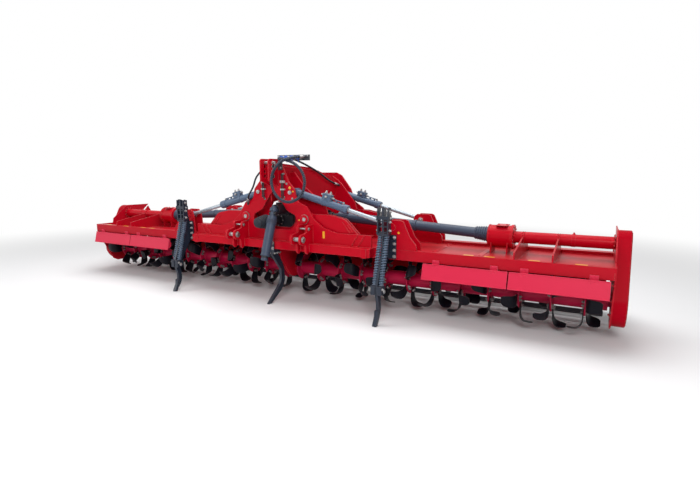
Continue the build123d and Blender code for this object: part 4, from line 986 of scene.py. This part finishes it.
def spiral_guard(run, diameter):
    """Plastic spiral wound round a hose against chafing."""
    bare = run.copy()
    bare.bevel_depth = 0.0
    line = bpy.data.objects.new("route", bare)
    points = [v.co.copy() for v in bpy.data.meshes.new_from_object(line).vertices]
    bpy.data.objects.remove(line)
    shape = bmesh.new()
    ends = [0.0]
    for one, two in zip(points, points[1:]):
        ends.append(ends[-1] + (two - one).length)
    pitch, steps, bare_end = 0.016, 12, 0.05
    first, last = bare_end, ends[-1] - bare_end
    rings, k = [], 0
    side = Vector((0, 0, 1))
    for i in range(int((last - first) / pitch * steps)):
        reach = first + i * pitch / steps
        while ends[k + 1] < reach:
            k += 1
        way = (points[k + 1] - points[k]).normalized()
        spot = points[k] + way * (reach - ends[k])
        side = (side - way * side.dot(way)).normalized()
        over = way.cross(side)
        out = side * cos(2 * pi * i / steps) + over * sin(2 * pi * i / steps)
        rings.append([shape.verts.new(spot + out * (diameter / 2 + rise) + way * step)
                      for rise, step in SPIRAL_STRIP])
    skin(shape, rings)
    return finish_piece(shape, "spiral_guard", "frame", SPIRAL_PLASTIC, crease=60)


coat(HOSE_RUBBER, HOSE_RUNS)
ferrules = bmesh.new()
for name, (diameter, length, route) in HOSE_RUNS.items():
    run = bpy.data.curves.new(name + "_run", "CURVE")
    run.dimensions = "3D"
    run.resolution_u = 16
    spline = run.splines.new("NURBS")
    spline.points.add(len(route) - 1)
    for point, place in zip(spline.points, route):
        point.co = (*at(*place), 1.0)
    spline.order_u = 3
    spline.use_endpoint_u = True
    run.bevel_depth = diameter / 2
    run.bevel_resolution = 5
    run.materials.append(HOSE_RUBBER)
    line = bpy.data.objects.new(name + "_rubber", run)
    bpy.context.scene.collection.objects.link(line)
    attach(line, "frame")
    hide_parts(name)
    wraps = [spiral_guard(run, diameter)] if name == "hose_loop" else []
    for tip, inner in ((route[0], route[1]), (route[-1], route[-2])):
        way = (at(*inner) - at(*tip)).normalized()
        wide = diameter * 500
        turn_on(ferrules, at(*tip), way, [(-12, wide + 5), (-2, wide + 5)], 6)
        turn_on(ferrules, at(*tip), way, [(-3, wide + 2), (0, wide + 3), (34, wide + 3), (36, wide + 1)], 20)
        for rib in (8, 16, 24):
            turn_on(ferrules, at(*tip), way, [(rib - 2, wide + 3), (rib, wide + 4), (rib + 2, wide + 3)], 20)
finish_piece(ferrules, "hose_ferrules", "frame", ZINC)

# ---------------------------------------------------------------- coupler rail
# Dark zinc rail bolted to the front plate with a row of snap couplers; the spare ones are shut by
# blue rubber dust caps on short straps.

coat(finish_of("dark_zinc", (0.06, 0.065, 0.08), 0.38, metallic=0.5, dust=0.1), ("valve_blocks",))
couplers, caps = bmesh.new(), bmesh.new()
RAIL_FACE, COUPLER_Z = -394, 1155
for x in (150, 205, 270, 340):
    face = at(x, RAIL_FACE, COUPLER_Z)
    turn_on(couplers, face, FORWARD, [(-1, 20), (12, 20), (13, 17), (20, 17)], 6)
    turn_on(couplers, face, FORWARD,
            [(20, 16), (24, 19), (28, 17.5), (32, 19), (36, 17.5), (40, 19), (46, 18)], 24)
    turn_on(couplers, at(x, PLATE_FACE, COUPLER_Z), BACK, [(20, 14), (28, 14)], 6)
    turn_on(caps, at(x, -440, COUPLER_Z), FORWARD, [(-4, 20), (6, 21), (14, 20), (16, 17)], 28)
    turn_on(caps, at(x, -430, COUPLER_Z - 21), -UP, [(0, 4), (26, 3)], 8)
for x, z in ((80, 1120), (100, 1060), (240, 1138), (420, 1170), (80, 1170)):
    bolt_on(couplers, at(x, RAIL_FACE, z), FORWARD, 12)
finish_piece(couplers, "spare_couplers", "frame", ZINC)
finish_piece(caps, "dust_caps", "frame",
             finish_of("blue_cap", (0.02, 0.09, 0.42), 0.38, dust=0.1, edge_wear_and_highlight=0.0))

# ---------------------------------------------------------------- roller
# Cage roller of flat bars welded to discs, turning in flanged bearing housings on the carrier arms;
# each housing is held by four bolts and has a grease point.

ROLLER_PAINT = finish_of("roller_paint", (0.016, 0.020, 0.030), 0.42, specular=0.3, dust=0.12, grain=0.2,
                         edge_wear_and_highlight=0.5)
coat(ROLLER_PAINT, ("roller_core", "roller_bars"), WINGS)
coat(RED, ("roller_arms",), WINGS)
ROLLER_AXLE = (680, -85)


def roller_bearings(shape):
    turn_on(shape, at(32, *ROLLER_AXLE), RIGHT,
            [(0, 58), (4, 58), (6, 44), (16, 40), (18, 27), (16, 26)], 36, closed=False)
    turn_on(shape, at(3044, *ROLLER_AXLE), RIGHT,
            [(0, 62), (5, 62), (7, 46), (20, 43), (24, 36), (24, 12), (26, 10)], 36)


def bearing_bolts(shape):
    bolt_circle_on(shape, at(3049, *ROLLER_AXLE), RIGHT, 0.053, 4, 45, 13)
    bolt_circle_on(shape, at(36, *ROLLER_AXLE), RIGHT, 0.051, 4, 45, 9)
    turn_on(shape, at(3056, 680, -39), UP, [(-4, 5), (7, 5), (8, 3), (11, 3)], 10)


on_both_wings(roller_bearings, "roller_bearings", "wing", BLACK_IRON)
on_both_wings(bearing_bolts, "bearing_bolts", "wing", ZINC)

# ---------------------------------------------------------------- tailgate
# Levelling board of folded sheet that hangs on its rod, stiffened by pressed ribs, with a wear strip
# held along the foot by carriage bolts.

coat(RED, ("tailgate",), WINGS)
HINGE_EYES = (120, 1040, 1990, 2920)
GATE_FACE = 389.5
RIB_OUTLINE = ((-3, 165, 0), (0, 160, 1), (7.5, -30, 1), (7.5, -38, 0), (0, -38, -0.2), (-6, 165, -0.2))


def gate_ribs(shape):
    for x in (330, 620, 840, 1260, 1520, 1760, 2230, 2480, 2720):
        skin(shape, [[shape.verts.new(at(x + off, GATE_FACE + y + tall * lean, z))
                      for y, z, lean in RIB_OUTLINE] for off, tall in ((-12, 0), (-7, 8), (7, 8), (12, 0))])


def gate_bolts(shape):
    for x in (200, 480, 730, 960, 1150, 1400, 1640, 1880, 2110, 2350, 2600, 2830):
        for off in (-16, 16):
            turn_on(shape, at(x + off, GATE_FACE + 9, -28), BACK, [(-3, 9), (1, 9), (4, 6), (5, 3)], 14)
    for x in HINGE_EYES:
        for off in (-19, 19):
            turn_on(shape, at(x + off, 385, 190), RIGHT, [(-3, 15), (3, 15)], 18)


on_both_wings(gate_ribs, "gate_ribs", "gate", RED)
on_both_wings(gate_bolts, "gate_bolts", "gate", ZINC)

# ---------------------------------------------------------------- floor, light and camera
# A pale studio sweep under soft boxes: the machine stands alone on it and casts a faint shadow.

bpy.ops.mesh.primitive_plane_add(size=60.0, location=(0, 0, cad_box[0][2]))
floor = bpy.context.object
floor.name = "studio_floor"


def background_rays(tree):
    """Mask of the rays that meet the background: camera, glossy and transmission rays."""
    rays = node_in(tree, "LightPath").outputs
    seen = node_in(tree, "Math", "MAXIMUM", _0=rays["Is Camera Ray"], _1=rays["Is Glossy Ray"])
    return node_in(tree, "Math", "MAXIMUM", _0=seen.outputs[0], _1=rays["Is Transmission Ray"]).outputs[0]


def studio_white():
    """Pale floor near the machine that runs out into plain white light further off."""
    material = bpy.data.materials.new("studio_white")
    material.use_nodes = True
    tree = material.node_tree
    paper = tree.nodes["Principled BSDF"]
    paper.inputs["Base Color"].default_value = (0.88, 0.88, 0.89, 1)
    paper.inputs["Roughness"].default_value = 0.8
    paper.inputs["Specular IOR Level"].default_value = 0.1
    glow = node_in(tree, "Emission", Strength=1.0)
    reach = node_in(tree, "VectorMath", "LENGTH", _0=node_in(tree, "TexCoord").outputs["Object"])
    far = node_in(tree, "MapRange", Value=reach.outputs["Value"], From_Min=3.6, From_Max=9.0)
    far.interpolation_type = "SMOOTHSTEP"
    blend = node_in(tree, "MixShader", _0=product_in(tree, far.outputs[0], background_rays(tree)),
                    _1=paper.outputs[0], _2=glow.outputs[0])
    tree.links.new(blend.outputs[0], tree.nodes["Material Output"].inputs["Surface"])
    return material


floor.data.materials.append(studio_white())

world = bpy.data.worlds.new("studio")
bpy.context.scene.world = world
world.use_nodes = True
sky = world.node_tree.nodes["Background"]
AMBIENT = 0.25      # strength of the room's light; white only to the rays that meet the background
strength = node_in(world.node_tree, "Math", "MULTIPLY_ADD", _0=background_rays(world.node_tree),
                   _1=1.0 - AMBIENT, _2=AMBIENT)
sky.inputs["Color"].default_value = (1, 1, 1, 1)
world.node_tree.links.new(strength.outputs[0], sky.inputs["Strength"])

SOFT_BOXES = (  # name, place, width, power
    ("key", (4.0, -6.5, 4.5), 3.0, 300.0),
    ("fill", (-6.0, -5.0, 3.0), 4.0, 120.0),
    ("top", (0.0, 0.5, 6.0), 6.0, 420.0),
)
AIM = Vector((0, 0, 0.6))
for name, place, width, power in SOFT_BOXES:
    lamp = bpy.data.lights.new("soft_box_" + name, "AREA")
    lamp.size = width
    lamp.energy = power
    holder = bpy.data.objects.new("soft_box_" + name, lamp)
    holder.location = place
    holder.rotation_euler = (AIM - Vector(place)).to_track_quat("-Z", "Y").to_euler()
    bpy.context.scene.collection.objects.link(holder)

camera = bpy.data.objects.new("camera", bpy.data.cameras.new("camera"))
camera.data.lens = 23.38
camera.data.sensor_width = 36.0
camera.location = (2.886, -4.1627, 1.300)
left, down, roll = 28.75, 9.35, 0.11     # degrees
camera.rotation_euler = (Matrix.Rotation(radians(left), 3, "Z") @ Matrix.Rotation(radians(90 - down), 3, "X")
                         @ Matrix.Rotation(radians(roll), 3, "Z")).to_euler()
bpy.context.scene.collection.objects.link(camera)
bpy.context.scene.camera = camera
bpy.context.scene.view_settings.view_transform = "Standard"
